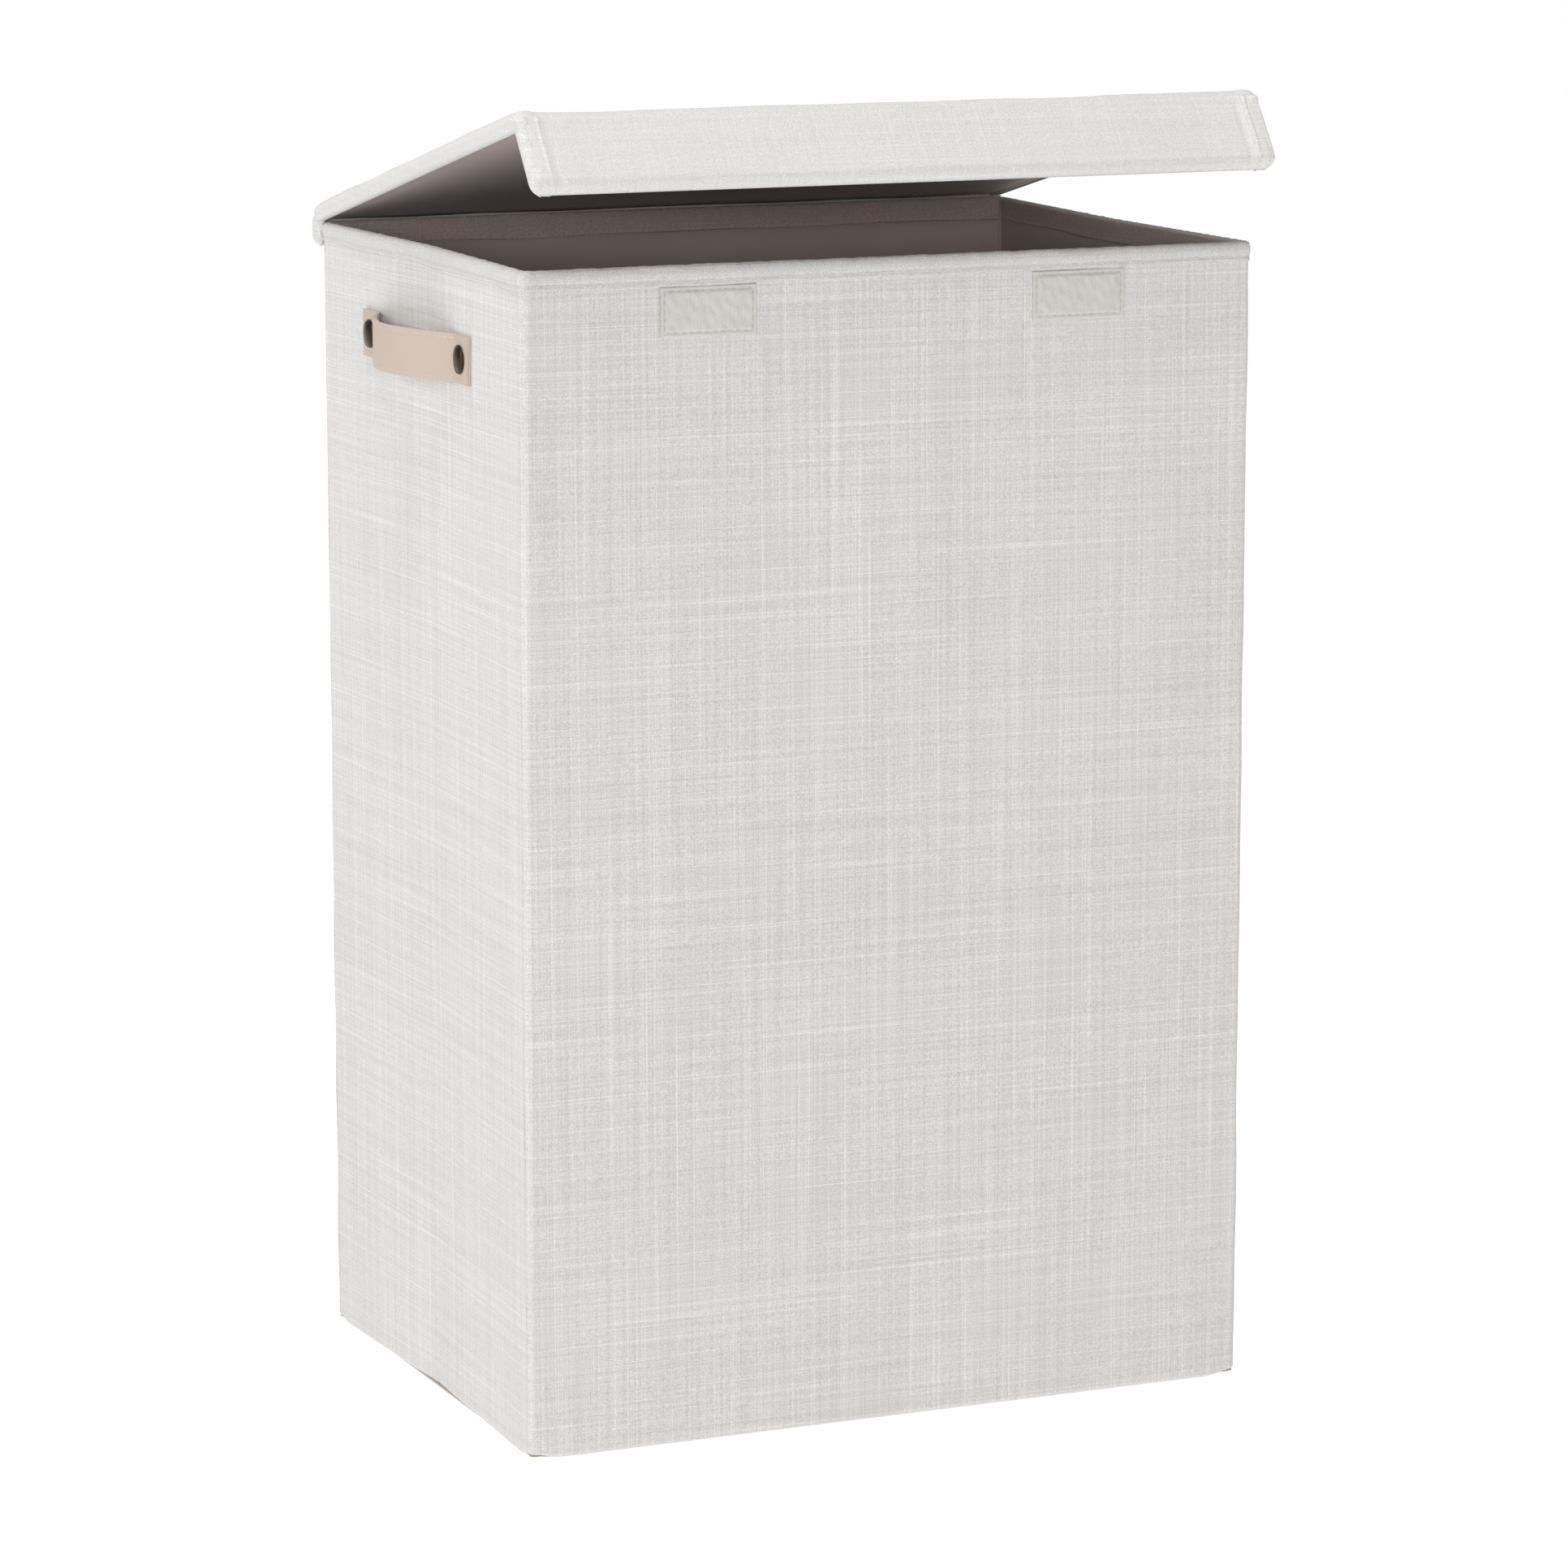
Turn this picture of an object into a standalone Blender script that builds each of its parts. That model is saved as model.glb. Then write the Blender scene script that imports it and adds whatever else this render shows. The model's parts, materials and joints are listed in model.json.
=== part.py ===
"""A lidded fabric laundry bin that folds flat, as separate solids in metres, +Z up.

The origin is the middle of the footprint on the floor. +X runs along the front to the right and +Y
points to the back. Every wall is a board between a woven cover and a lining. Each side wall is two
halves joined at a crease in the middle, which folds inwards and draws the front wall to the back.
"""

from math import cos, pi, radians, sin, sqrt, tan

import bmesh
import bpy
from mathutils import Matrix, Vector

# Overall sizes
BODY_WIDTH = 0.406
BODY_DEPTH = 0.298
BODY_HEIGHT = 0.610

# Layers of a wall, from the outside in, and the gap that touching pieces keep
COVER = 0.0008
BOARD = 0.0020
LINING = 0.0006
GAP = 0.0003
WALL = COVER + BOARD + LINING + 2 * GAP

# Rim: the band outside and over the edge, and the facing inside it
RIM_BAND = 0.0105
RIM_FACING = 0.012

# Side walls: how far each half already leans in, how far the fold goes, and its clearance
REST_LEAN = radians(2.0)
FOLD_ANGLE = radians(74.0)
CREASE_GAP = 0.00015

# Floor sheets, which lie under all walls, and the two-leaf base board
FLOOR_COVER = 0.0008
FLOOR_LINING = 0.0006
WALL_FOOT = FLOOR_COVER + FLOOR_LINING + 2 * GAP
LEAF_BOARD = 0.0020
LEAF_LINING = 0.0006
LEAF_FOLD_RATIO = 1.02
LEAF_HINGE_ROOM = 0.0035
LEAF_FRONT_ROOM = 0.0045
LEAF_SIDE_ROOM = 0.003
FOLD_STEPS = 60

# Lid
LID_BOARD = 0.0025
LID_THICKNESS = COVER + LID_BOARD + LINING + 2 * GAP
LID_SIDE_OVERHANG = 0.001
LID_HINGE_SETBACK = 0.006
LID_REAR_MARGIN = 0.004
LID_SEAT_GAP = 0.0004
LID_OPEN = radians(13.0)
LID_EDGE_SKIN = COVER
HINGE_BAND_HEIGHT = 0.0125
HINGE_BAND_DROP = 0.0005
HINGE_BAND_INSET = 0.003

# Flap along the lid's front edge
FLAP_LENGTH = 0.038
FLAP_BEND = radians(66.0)
FLAP_SPLIT = 0.00015
END_BAND = 0.010

# Hook and loop patches
PATCH_WIDTH = 0.0525
PATCH_HEIGHT = 0.0255
PATCH_THICKNESS = 0.0008
PATCH_OFFSET = 0.103
HOOK_INSET = 0.0015
FLAP_CLEARANCE = 2 * (GAP + PATCH_THICKNESS) + GAP

# Handles
STRAP_WIDTH = 0.025
STRAP_THICKNESS = 0.0022
STRAP_DROP = 0.053
STRAP_BULGE = 0.0195
RIVET_REAR = 0.0742
RIVET_FRONT = 0.0593
TAB_REAR = 0.0105
TAB_FRONT = 0.0120
STRAP_RUN = 0.058
STRAP_FULLNESS = 1.7
STRAP_SOFTNESS = 0.03
CLEAR_REAR = 0.0095
CLEAR_FRONT = 0.0105
STRAP_STEPS = 44

# Rivets and washers
CAP_RADIUS = 0.0075
CAP_HEIGHT = 0.0024
POST_RADIUS = 0.0025
HEAD_RADIUS = 0.0042
HEAD_THICKNESS = 0.001
WASHER_RADIUS = 0.0060
WASHER_THICKNESS = 0.0008
ROUND_STEPS = 16
DOME_STEPS = 5
RIVET_DRILL = 0.032

# What follows from those
HALF_WIDTH = BODY_WIDTH / 2
HALF_DEPTH = BODY_DEPTH / 2
SIDE_AXIS_X = HALF_WIDTH - WALL
SIDE_AXIS_Y = HALF_DEPTH - WALL - GAP
HALF_LENGTH = (SIDE_AXIS_Y - WALL * sin(REST_LEAN)) / cos(REST_LEAN)
CREASE_X = SIDE_AXIS_X + WALL * cos(REST_LEAN) - HALF_LENGTH * sin(REST_LEAN)
STRAP_HEIGHT = BODY_HEIGHT - STRAP_DROP
BOARD_TOP = BODY_HEIGHT - COVER - GAP
COVER_TOP = BODY_HEIGHT - RIM_BAND - GAP
LINING_TOP = BODY_HEIGHT - RIM_FACING - GAP
BOARD_IN = COVER + GAP
LINING_IN = WALL - LINING
LEAF_THICKNESS = LEAF_BOARD + GAP + LEAF_LINING
LEAF_HINGE_Y = SIDE_AXIS_Y + GAP - LEAF_HINGE_ROOM
LEAF_LENGTH = (2 * HALF_DEPTH - 2 * WALL - LEAF_HINGE_ROOM - LEAF_FRONT_ROOM) / 2
LEAF_SIDE_AXIS = SIDE_AXIS_Y - LEAF_HINGE_Y
LID_HINGE_Y = HALF_DEPTH + LID_HINGE_SETBACK
LID_HINGE_Z = BODY_HEIGHT + LID_SEAT_GAP + LID_THICKNESS / 2
LID_REACH = LID_HINGE_Y + HALF_DEPTH + FLAP_CLEARANCE
LID_HALF_WIDTH = HALF_WIDTH + LID_SIDE_OVERHANG

LEFT, RIGHT = -1, 1
SIDE_NAMES = {LEFT: "left", RIGHT: "right"}

COLOURS = {
    "cover_fabric": ((0.68, 0.665, 0.64), 0.95, 0.0),
    "lining_fabric": ((0.105, 0.083, 0.074), 0.95, 0.0),
    "greyboard": ((0.32, 0.29, 0.25), 0.9, 0.0),
    "strap_leather": ((0.62, 0.52, 0.44), 0.6, 0.0),
    "rivet_brass": ((0.12, 0.085, 0.055), 0.35, 1.0),
    "patch_fleece": ((0.61, 0.585, 0.56), 1.0, 0.0),
}


def clear_scene():
    """Removes every object that the file opened with."""
    for old in list(bpy.data.objects):
        bpy.data.objects.remove(old, do_unlink=True)


def make_collection(name):
    """Adds a collection to the scene."""
    made = bpy.data.collections.new(name)
    bpy.context.scene.collection.children.link(made)
    return made


def make_material(name):
    """A plain Principled material for one kind of stock."""
    colour, roughness, metallic = COLOURS[name]
    made = bpy.data.materials.new(name)
    made.use_nodes = True
    shader = made.node_tree.nodes["Principled BSDF"]
    shader.inputs["Base Color"].default_value = (*colour, 1.0)
    shader.inputs["Roughness"].default_value = roughness
    shader.inputs["Metallic"].default_value = metallic
    made.diffuse_color = (*colour, 1.0)
    return made


clear_scene()
PARTS = make_collection("fabric_storage_bin")
CUTTERS = make_collection("cutters")
STOCK = {name: make_material(name) for name in COLOURS}


def pivot(name, place, turn=None, parent=None):
    """An empty on a joint's axis, which carries the pieces that move with it."""
    made = bpy.data.objects.new(name, None)
    made.empty_display_size = 0.03
    PARTS.objects.link(made)
    made.parent = parent
    made.matrix_local = Matrix.Translation(Vector(place)) @ (turn or Matrix())
    bpy.context.view_layer.update()
    return made


def add_object(name, mesh, stock, parent, collection=PARTS):
    """Links a mesh object under its pivot."""
    made = bpy.data.objects.new(name, mesh)
    collection.objects.link(made)
    made.parent = parent
    if stock:
        mesh.materials.append(STOCK[stock])
    return made


def block_mesh(name, low, high):
    """A box between two corners, with its own origin in its middle, and that middle."""
    low, high = Vector(low), Vector(high)
    size = high - low
    shape = bmesh.new()
    bmesh.ops.create_cube(shape, size=1.0)
    bmesh.ops.scale(shape, vec=(abs(size.x), abs(size.y), abs(size.z)), verts=shape.verts)
    mesh = bpy.data.meshes.new(name)
    shape.to_mesh(mesh)
    shape.free()
    return mesh, (low + high) / 2


def block(name, low, high, stock, parent=None):
    """A box-shaped piece."""
    mesh, middle = block_mesh(name, low, high)
    made = add_object(name, mesh, stock, parent)
    made.location = middle
    return made


def hide_cutter(cutter):
    """Marks an object as a cutter, which is never part of the model."""
    cutter.hide_render = True
    cutter.display_type = "WIRE"
    return cutter


def block_cutter(name, low, high, parent=None):
    """A box that cuts."""
    mesh, middle = block_mesh(name, low, high)
    made = add_object(name, mesh, None, parent, CUTTERS)
    made.location = middle
    return hide_cutter(made)


def rod_cutter(name, place, radius, length, parent=None):
    """A cylinder along its parent's X axis that cuts."""
    shape = bmesh.new()
    bmesh.ops.create_cone(
        shape, cap_ends=True, segments=ROUND_STEPS, radius1=radius, radius2=radius, depth=length
    )
    bmesh.ops.rotate(shape, matrix=Matrix.Rotation(pi / 2, 3, "Y"), verts=shape.verts)
    mesh = bpy.data.meshes.new(name)
    shape.to_mesh(mesh)
    shape.free()
    made = add_object(name, mesh, None, parent, CUTTERS)
    made.location = place
    return hide_cutter(made)


def cut(target, cutter):
    """Takes the cutter's volume out of the target."""
    change = target.modifiers.new("cut_" + cutter.name, "BOOLEAN")
    change.operation = "DIFFERENCE"
    change.solver = "EXACT"
    change.object = cutter
    return target


class Wall:
    """A straight upright wall, addressed by its distance along, its depth from outside, and height."""

    def __init__(self, name, parent, to_x, to_y):
        self.name = name
        self.parent = parent
        self.to_x = to_x
        self.to_y = to_y

    def corner(self, along, depth, height):
        """A point of the wall in its parent's frame."""
        return Vector((self.to_x(along, depth), self.to_y(along, depth), height))

    def slab(self, part, start, end, outer, inner, bottom, top, stock):
        """One layer of the wall."""
        name = f"{self.name}_{part}"
        low = self.corner(start, outer, bottom)
        high = self.corner(end, inner, top)
        return block(name, low, high, stock, self.parent)

    def layers(self, start, end):
        """The cover, board, lining, rim binding and rim facing, in one stretch of wall."""
        made = [
            self.slab("cover", start, end, 0, COVER, WALL_FOOT, COVER_TOP, "cover_fabric"),
            self.slab("board", start, end, BOARD_IN, BOARD_IN + BOARD, WALL_FOOT, BOARD_TOP, "greyboard"),
            self.slab("lining", start, end, LINING_IN, WALL, WALL_FOOT, LINING_TOP, "lining_fabric"),
        ]
        self.slab(
            "rim_facing", start, end, LINING_IN, WALL, LINING_TOP + GAP, BOARD_TOP, "lining_fabric"
        )
        binding = self.slab(
            "rim_binding", start, end, 0, WALL, BODY_HEIGHT - RIM_BAND, BODY_HEIGHT, "cover_fabric"
        )
        under = block_cutter(
            f"{self.name}_rim_hollow",
            self.corner(start - GAP, COVER, BODY_HEIGHT - 2 * RIM_BAND),
            self.corner(end + GAP, 2 * WALL, BODY_HEIGHT - COVER),
            self.parent,
        )
        cut(binding, under)
        return made


def side_pivots(side):
    """The empties on a side wall's corner axis and on its crease axis."""
    name = SIDE_NAMES[side]
    rear = pivot(
        f"{name}_rear_pivot",
        (side * SIDE_AXIS_X, SIDE_AXIS_Y, 0),
        Matrix.Rotation(-side * REST_LEAN, 4, "Z"),
    )
    front = pivot(
        f"{name}_crease_pivot",
        (side * WALL, -HALF_LENGTH, 0),
        Matrix.Rotation(2 * side * REST_LEAN, 4, "Z"),
        rear,
    )
    return rear, front


def build_side(side):
    """Both halves of a side wall, with their rivet holes, rivets, washers and strap."""
    name = SIDE_NAMES[side]
    rear_pivot, crease_pivot = side_pivots(side)
    rear = Wall(
        f"{name}_rear",
        rear_pivot,
        lambda along, depth: side * (WALL - depth),
        lambda along, depth: along - HALF_LENGTH,
    )
    front = Wall(
        f"{name}_front",
        crease_pivot,
        lambda along, depth: -side * depth,
        lambda along, depth: -along,
    )
    holes = []
    for wall, reach in ((rear, RIVET_REAR), (front, RIVET_FRONT)):
        along = reach / cos(REST_LEAN)
        layers = wall.layers(CREASE_GAP, HALF_LENGTH)
        hole = rod_cutter(
            f"{wall.name}_rivet_hole",
            wall.corner(along, 0, STRAP_HEIGHT),
            POST_RADIUS + GAP,
            RIVET_DRILL,
            wall.parent,
        )
        for layer in layers:
            cut(layer, hole)
        build_rivet(wall, along, side)
        holes.append(hole)
    build_strap(side, rear_pivot, holes)
    return crease_pivot


def turned(name, profile, stock, parent, place, side):
    """A turned piece whose axis runs along X, with its outer end towards the side it is on."""
    mesh = bpy.data.meshes.new(name)
    count = len(profile)
    closed = profile[0][0] > 0
    edges = [(i, i + 1) for i in range(count - 1)]
    if closed:
        edges.append((count - 1, 0))
    mesh.from_pydata([(radius, 0, height) for radius, height in profile], edges, [])
    made = add_object(name, mesh, stock, parent)
    made.location = place
    made.rotation_euler = (0, side * pi / 2, 0)
    spin = made.modifiers.new("turn", "SCREW")
    spin.steps = ROUND_STEPS
    spin.render_steps = ROUND_STEPS
    spin.use_merge_vertices = True
    spin.merge_threshold = 0.00001
    return made


def build_rivet(wall, along, side):
    """A domed rivet through the strap and the wall, and the washer inside."""
    seat = GAP + STRAP_THICKNESS + GAP
    back = -(WALL + GAP + WASHER_THICKNESS + GAP)
    dome = [
        (CAP_RADIUS * sin(pi / 2 * i / DOME_STEPS), seat + CAP_HEIGHT * cos(pi / 2 * i / DOME_STEPS))
        for i in range(DOME_STEPS)
    ]
    shank = [
        (CAP_RADIUS, seat),
        (POST_RADIUS, seat),
        (POST_RADIUS, back),
        (HEAD_RADIUS, back),
        (HEAD_RADIUS, back - HEAD_THICKNESS),
        (0, back - HEAD_THICKNESS),
    ]
    place = wall.corner(along, 0, STRAP_HEIGHT)
    turned(f"{wall.name}_rivet", dome + shank, "rivet_brass", wall.parent, place, side)
    near = -(WALL + GAP)
    ring = [
        (WASHER_RADIUS, near),
        (WASHER_RADIUS, near - WASHER_THICKNESS),
        (POST_RADIUS + GAP, near - WASHER_THICKNESS),
        (POST_RADIUS + GAP, near),
    ]
    turned(f"{wall.name}_washer", ring, "rivet_brass", wall.parent, place, side)


def arched(distance):
    """How far a strap has risen, as a share, at a distance from where it leaves the wall."""
    share = distance / STRAP_RUN
    share = (share + sqrt(share * share + STRAP_SOFTNESS * STRAP_SOFTNESS)) / 2
    return 1 - (1 - min(share, 1.0)) ** STRAP_FULLNESS


def strap_stand_off(y):
    """How far the strap's inner face stands out from the side wall, at a distance from the crease."""
    rear = arched(RIVET_REAR - CLEAR_REAR - y)
    front = arched(y + RIVET_FRONT - CLEAR_FRONT)
    return GAP + STRAP_BULGE * min(rear, front)


def build_strap(side, parent, holes):
    """The carrying strap, which lies on both halves and bows out between its rivets."""
    name = f"{SIDE_NAMES[side]}_handle_strap"
    back, front = RIVET_REAR + TAB_REAR, -(RIVET_FRONT + TAB_FRONT)
    shape = bmesh.new()
    low, high = STRAP_HEIGHT - STRAP_WIDTH / 2, STRAP_HEIGHT + STRAP_WIDTH / 2
    rows = []
    for i in range(STRAP_STEPS + 1):
        y = back + (front - back) * i / STRAP_STEPS
        x = side * (CREASE_X + abs(y) * tan(REST_LEAN) + strap_stand_off(y) / cos(REST_LEAN))
        rows.append([shape.verts.new((x, y, z)) for z in (low, high)])
    for (a, b), (c, d) in zip(rows, rows[1:]):
        shape.faces.new((a, c, d, b) if side == LEFT else (a, b, d, c))
    mesh = bpy.data.meshes.new(name)
    shape.to_mesh(mesh)
    shape.free()
    made = add_object(name, mesh, "strap_leather", parent)
    made.matrix_parent_inverse = parent.matrix_world.inverted()
    thick = made.modifiers.new("thickness", "SOLIDIFY")
    thick.thickness = STRAP_THICKNESS
    thick.offset = 1.0
    for hole in holes:
        cut(made, hole)
    return made


def leaf_half_width(reach):
    """How wide a base leaf may be at a distance from its wall, clear of the sides all through the fold."""
    room = []
    for i in range(FOLD_STEPS + 1):
        fold = FOLD_ANGLE * i / FOLD_STEPS
        lean, tilt = REST_LEAN + fold, LEAF_FOLD_RATIO * fold
        crease_y = SIDE_AXIS_Y - HALF_LENGTH * cos(lean) - WALL * sin(lean)
        ridge_y = LEAF_HINGE_Y - LEAF_LENGTH * cos(tilt)
        foot = LEAF_SIDE_AXIS + max(0.0, 2 * (ridge_y - crease_y))
        room.append(SIDE_AXIS_X - (foot + reach * cos(tilt)) * tan(lean))
    return min(room) - LEAF_SIDE_ROOM


def build_leaf(name, ridge_side, parent):
    """One leaf of the base board, which narrows from its wall towards the ridge in the middle."""
    wide, narrow = leaf_half_width(0.0), leaf_half_width(LEAF_LENGTH)
    layers = (
        ("board", 0.0, LEAF_BOARD, "greyboard"),
        ("lining", LEAF_BOARD + GAP, LEAF_THICKNESS, "lining_fabric"),
    )
    for part, bottom, top, stock in layers:
        low = (-wide, -LEAF_LENGTH + CREASE_GAP, bottom)
        high = (wide, -CREASE_GAP, top)
        made = block(f"base_{name}_{part}", low, high, stock, parent)
        for vert in made.data.vertices:
            if vert.co.y * ridge_side > 0:
                vert.co.x *= narrow / wide


def build_base():
    """The floor sheets under the walls, and the two leaves that fold up as the walls come together."""
    foot = (HALF_WIDTH, HALF_DEPTH)
    low, high = (-foot[0], -foot[1], 0.0), (foot[0], foot[1], FLOOR_COVER)
    block("floor_cover", low, high, "cover_fabric")
    low, high = (-foot[0], -foot[1], FLOOR_COVER + GAP), (foot[0], foot[1], WALL_FOOT - GAP)
    block("floor_lining", low, high, "lining_fabric")
    rear_pivot = pivot("base_rear_pivot", (0, LEAF_HINGE_Y, WALL_FOOT))
    ridge_pivot = pivot("base_ridge_pivot", (0, -LEAF_LENGTH, 0), None, rear_pivot)
    build_leaf("rear", -1, rear_pivot)
    build_leaf("front", 1, ridge_pivot)


def hollow(target, low, high, parent):
    """Takes a box out of a piece of the lid or flap."""
    return cut(target, block_cutter(target.name + "_hollow", low, high, parent))


def build_lid():
    """The lid on its rear axis, and the flap on the lid's front edge."""
    lid_pivot = pivot(
        "lid_pivot",
        (0, LID_HINGE_Y, LID_HINGE_Z),
        Matrix.Rotation(-LID_OPEN, 4, "X"),
    )
    under, over = -LID_THICKNESS / 2, LID_THICKNESS / 2
    rear, front = LID_REAR_MARGIN, -LID_REACH + FLAP_SPLIT
    side = LID_HALF_WIDTH
    skin = LID_EDGE_SKIN
    cover = block("lid_cover", (-side, front, under), (side, rear, over), "cover_fabric", lid_pivot)
    hollow(
        cover,
        (-side + skin, front + skin, under - COVER),
        (side - skin, rear - skin, over - COVER),
        lid_pivot,
    )
    edge = skin + GAP
    inside = (-side + edge, front + edge), (side - edge, rear - edge)
    low, high = (*inside[0], under + LINING + GAP), (*inside[1], over - COVER - GAP)
    block("lid_board", low, high, "greyboard", lid_pivot)
    low, high = (*inside[0], under), (*inside[1], under + LINING)
    block("lid_lining", low, high, "lining_fabric", lid_pivot)
    band_top = BODY_HEIGHT - HINGE_BAND_DROP
    block(
        "lid_hinge_band",
        (-HALF_WIDTH + HINGE_BAND_INSET, HALF_DEPTH + GAP, band_top - HINGE_BAND_HEIGHT),
        (HALF_WIDTH - HINGE_BAND_INSET, HALF_DEPTH + GAP + COVER, band_top),
        "cover_fabric",
    )
    build_flap(lid_pivot, under)


def build_flap(lid_pivot, under):
    """The flap, which hangs over the front wall when the lid is shut."""
    flap_pivot = pivot(
        "flap_pivot",
        (0, -LID_REACH, under),
        Matrix.Rotation(FLAP_BEND, 4, "X"),
        lid_pivot,
    )
    side, skin, edge = LID_HALF_WIDTH, LID_EDGE_SKIN, LID_EDGE_SKIN + GAP
    near, far, top = -FLAP_SPLIT, -FLAP_LENGTH, LID_THICKNESS
    inner = side - END_BAND - GAP
    cover = block("flap_cover", (-inner, far, 0), (inner, near, top), "cover_fabric", flap_pivot)
    hollow(
        cover,
        (-side, far + skin, -COVER),
        (side, near - skin, top - COVER),
        flap_pivot,
    )
    block(
        "flap_board",
        (-side + edge, far + edge, LINING + GAP),
        (side - edge, near - edge, top - COVER - GAP),
        "greyboard",
        flap_pivot,
    )
    low, high = (-inner, far + edge, 0), (inner, near - edge, LINING)
    block("flap_lining", low, high, "lining_fabric", flap_pivot)
    for hand, name in SIDE_NAMES.items():
        ends = sorted((hand * side, hand * (side - END_BAND)))
        band = block(
            f"flap_{name}_end_band",
            (ends[0], far, 0),
            (ends[1], near, top),
            "cover_fabric",
            flap_pivot,
        )
        pocket = sorted((hand * (side - skin), hand * (side - 2 * END_BAND)))
        hollow(
            band,
            (pocket[0], far + skin, LINING),
            (pocket[1], near - skin, top - COVER),
            flap_pivot,
        )
        middle = hand * PATCH_OFFSET
        reach = far + HOOK_INSET
        block(
            f"{name}_hook_patch",
            (middle - PATCH_WIDTH / 2, reach, -GAP - PATCH_THICKNESS),
            (middle + PATCH_WIDTH / 2, reach + PATCH_HEIGHT, -GAP),
            "patch_fleece",
            flap_pivot,
        )


def build_front(crease_pivot):
    """The front wall, which hangs on the left side's front half, with its two loop patches."""
    front_pivot = pivot(
        "front_pivot",
        (-LEFT * WALL, -HALF_LENGTH, 0),
        Matrix.Rotation(-LEFT * REST_LEAN, 4, "Z"),
        crease_pivot,
    )
    shift = front_pivot.matrix_world.translation
    wall = Wall(
        "front",
        front_pivot,
        lambda along, depth: along - shift.x,
        lambda along, depth: -(HALF_DEPTH - depth) - shift.y,
    )
    wall.layers(-HALF_WIDTH, HALF_WIDTH)
    patch_top = BODY_HEIGHT - RIM_BAND - GAP
    for hand, name in SIDE_NAMES.items():
        middle = hand * PATCH_OFFSET
        low = wall.corner(middle - PATCH_WIDTH / 2, -GAP - PATCH_THICKNESS, patch_top - PATCH_HEIGHT)
        high = wall.corner(middle + PATCH_WIDTH / 2, -GAP, patch_top)
        block(f"{name}_loop_patch", low, high, "patch_fleece", front_pivot)


def build_back():
    """The back wall, which carries everything else."""
    wall = Wall(
        "back",
        None,
        lambda along, depth: along,
        lambda along, depth: HALF_DEPTH - depth,
    )
    wall.layers(-HALF_WIDTH, HALF_WIDTH)


def main():
    """Builds the whole bin."""
    build_back()
    build_base()
    creases = {side: build_side(side) for side in SIDE_NAMES}
    build_front(creases[LEFT])
    build_lid()
    bpy.context.view_layer.update()


main()
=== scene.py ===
"""The looks of a lidded fabric laundry bin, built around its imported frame.

Boards, hinge lines and sizes come from the frame. This file makes what is sewn, cut and riveted: the
woven covers, the padded rim, the lining, the lid with its flap, the strap handles and the patches.
Lengths are in metres, +X runs along the front to the right, +Y to the back and +Z up.
"""

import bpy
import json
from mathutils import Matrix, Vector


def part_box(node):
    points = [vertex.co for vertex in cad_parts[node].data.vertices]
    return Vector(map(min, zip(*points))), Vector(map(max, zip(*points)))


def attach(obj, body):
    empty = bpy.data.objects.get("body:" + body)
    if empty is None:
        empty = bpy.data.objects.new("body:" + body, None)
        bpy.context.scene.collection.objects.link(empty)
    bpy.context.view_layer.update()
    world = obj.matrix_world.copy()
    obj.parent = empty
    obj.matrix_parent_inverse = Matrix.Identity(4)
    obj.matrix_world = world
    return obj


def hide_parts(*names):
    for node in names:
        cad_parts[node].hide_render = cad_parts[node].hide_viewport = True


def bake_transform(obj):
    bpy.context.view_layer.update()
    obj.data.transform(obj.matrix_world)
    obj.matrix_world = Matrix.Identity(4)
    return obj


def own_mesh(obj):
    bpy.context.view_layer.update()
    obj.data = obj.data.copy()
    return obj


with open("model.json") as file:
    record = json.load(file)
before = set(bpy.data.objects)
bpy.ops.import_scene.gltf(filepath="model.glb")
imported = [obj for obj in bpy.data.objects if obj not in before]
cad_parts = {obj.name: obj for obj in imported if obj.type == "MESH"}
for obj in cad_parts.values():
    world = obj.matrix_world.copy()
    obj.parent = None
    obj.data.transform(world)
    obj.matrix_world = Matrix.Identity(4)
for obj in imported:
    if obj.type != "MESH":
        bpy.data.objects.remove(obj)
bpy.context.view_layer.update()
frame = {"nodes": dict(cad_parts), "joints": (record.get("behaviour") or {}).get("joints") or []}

import json
import logging
from dataclasses import dataclass, field
from enum import Enum
from math import asin, atan, atan2, cos, pi, radians, sin, sqrt, tan

import bpy
import numpy as np
from mathutils import Matrix, Vector

log = logging.getLogger("laundry_bin")


class Hand(Enum):
    """Which side of the bin a piece is on."""

    LEFT = "left"
    RIGHT = "right"

    @property
    def sign(self) -> int:
        """-1 on the left and 1 on the right."""
        return -1 if self is Hand.LEFT else 1


class Held(Enum):
    """How a sheet of cloth is held."""

    STRETCHED = "stretched"
    FOLDED = "folded"
    LAID = "laid"


# ---- sizes that the frame gives


def joint_place(name: str) -> Vector:
    """A point on a joint's axis.

    Args:
        name: The joint's name in the record.

    Returns:
        The point in the row frame.
    """
    return Vector(next(j["pos_m"] for j in frame["joints"] if j["name"] == name))


def joint_low(name: str) -> float:
    """The lower limit of a joint, in degrees."""
    return next(j["range_deg"][0] for j in frame["joints"] if j["name"] == name)


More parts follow.
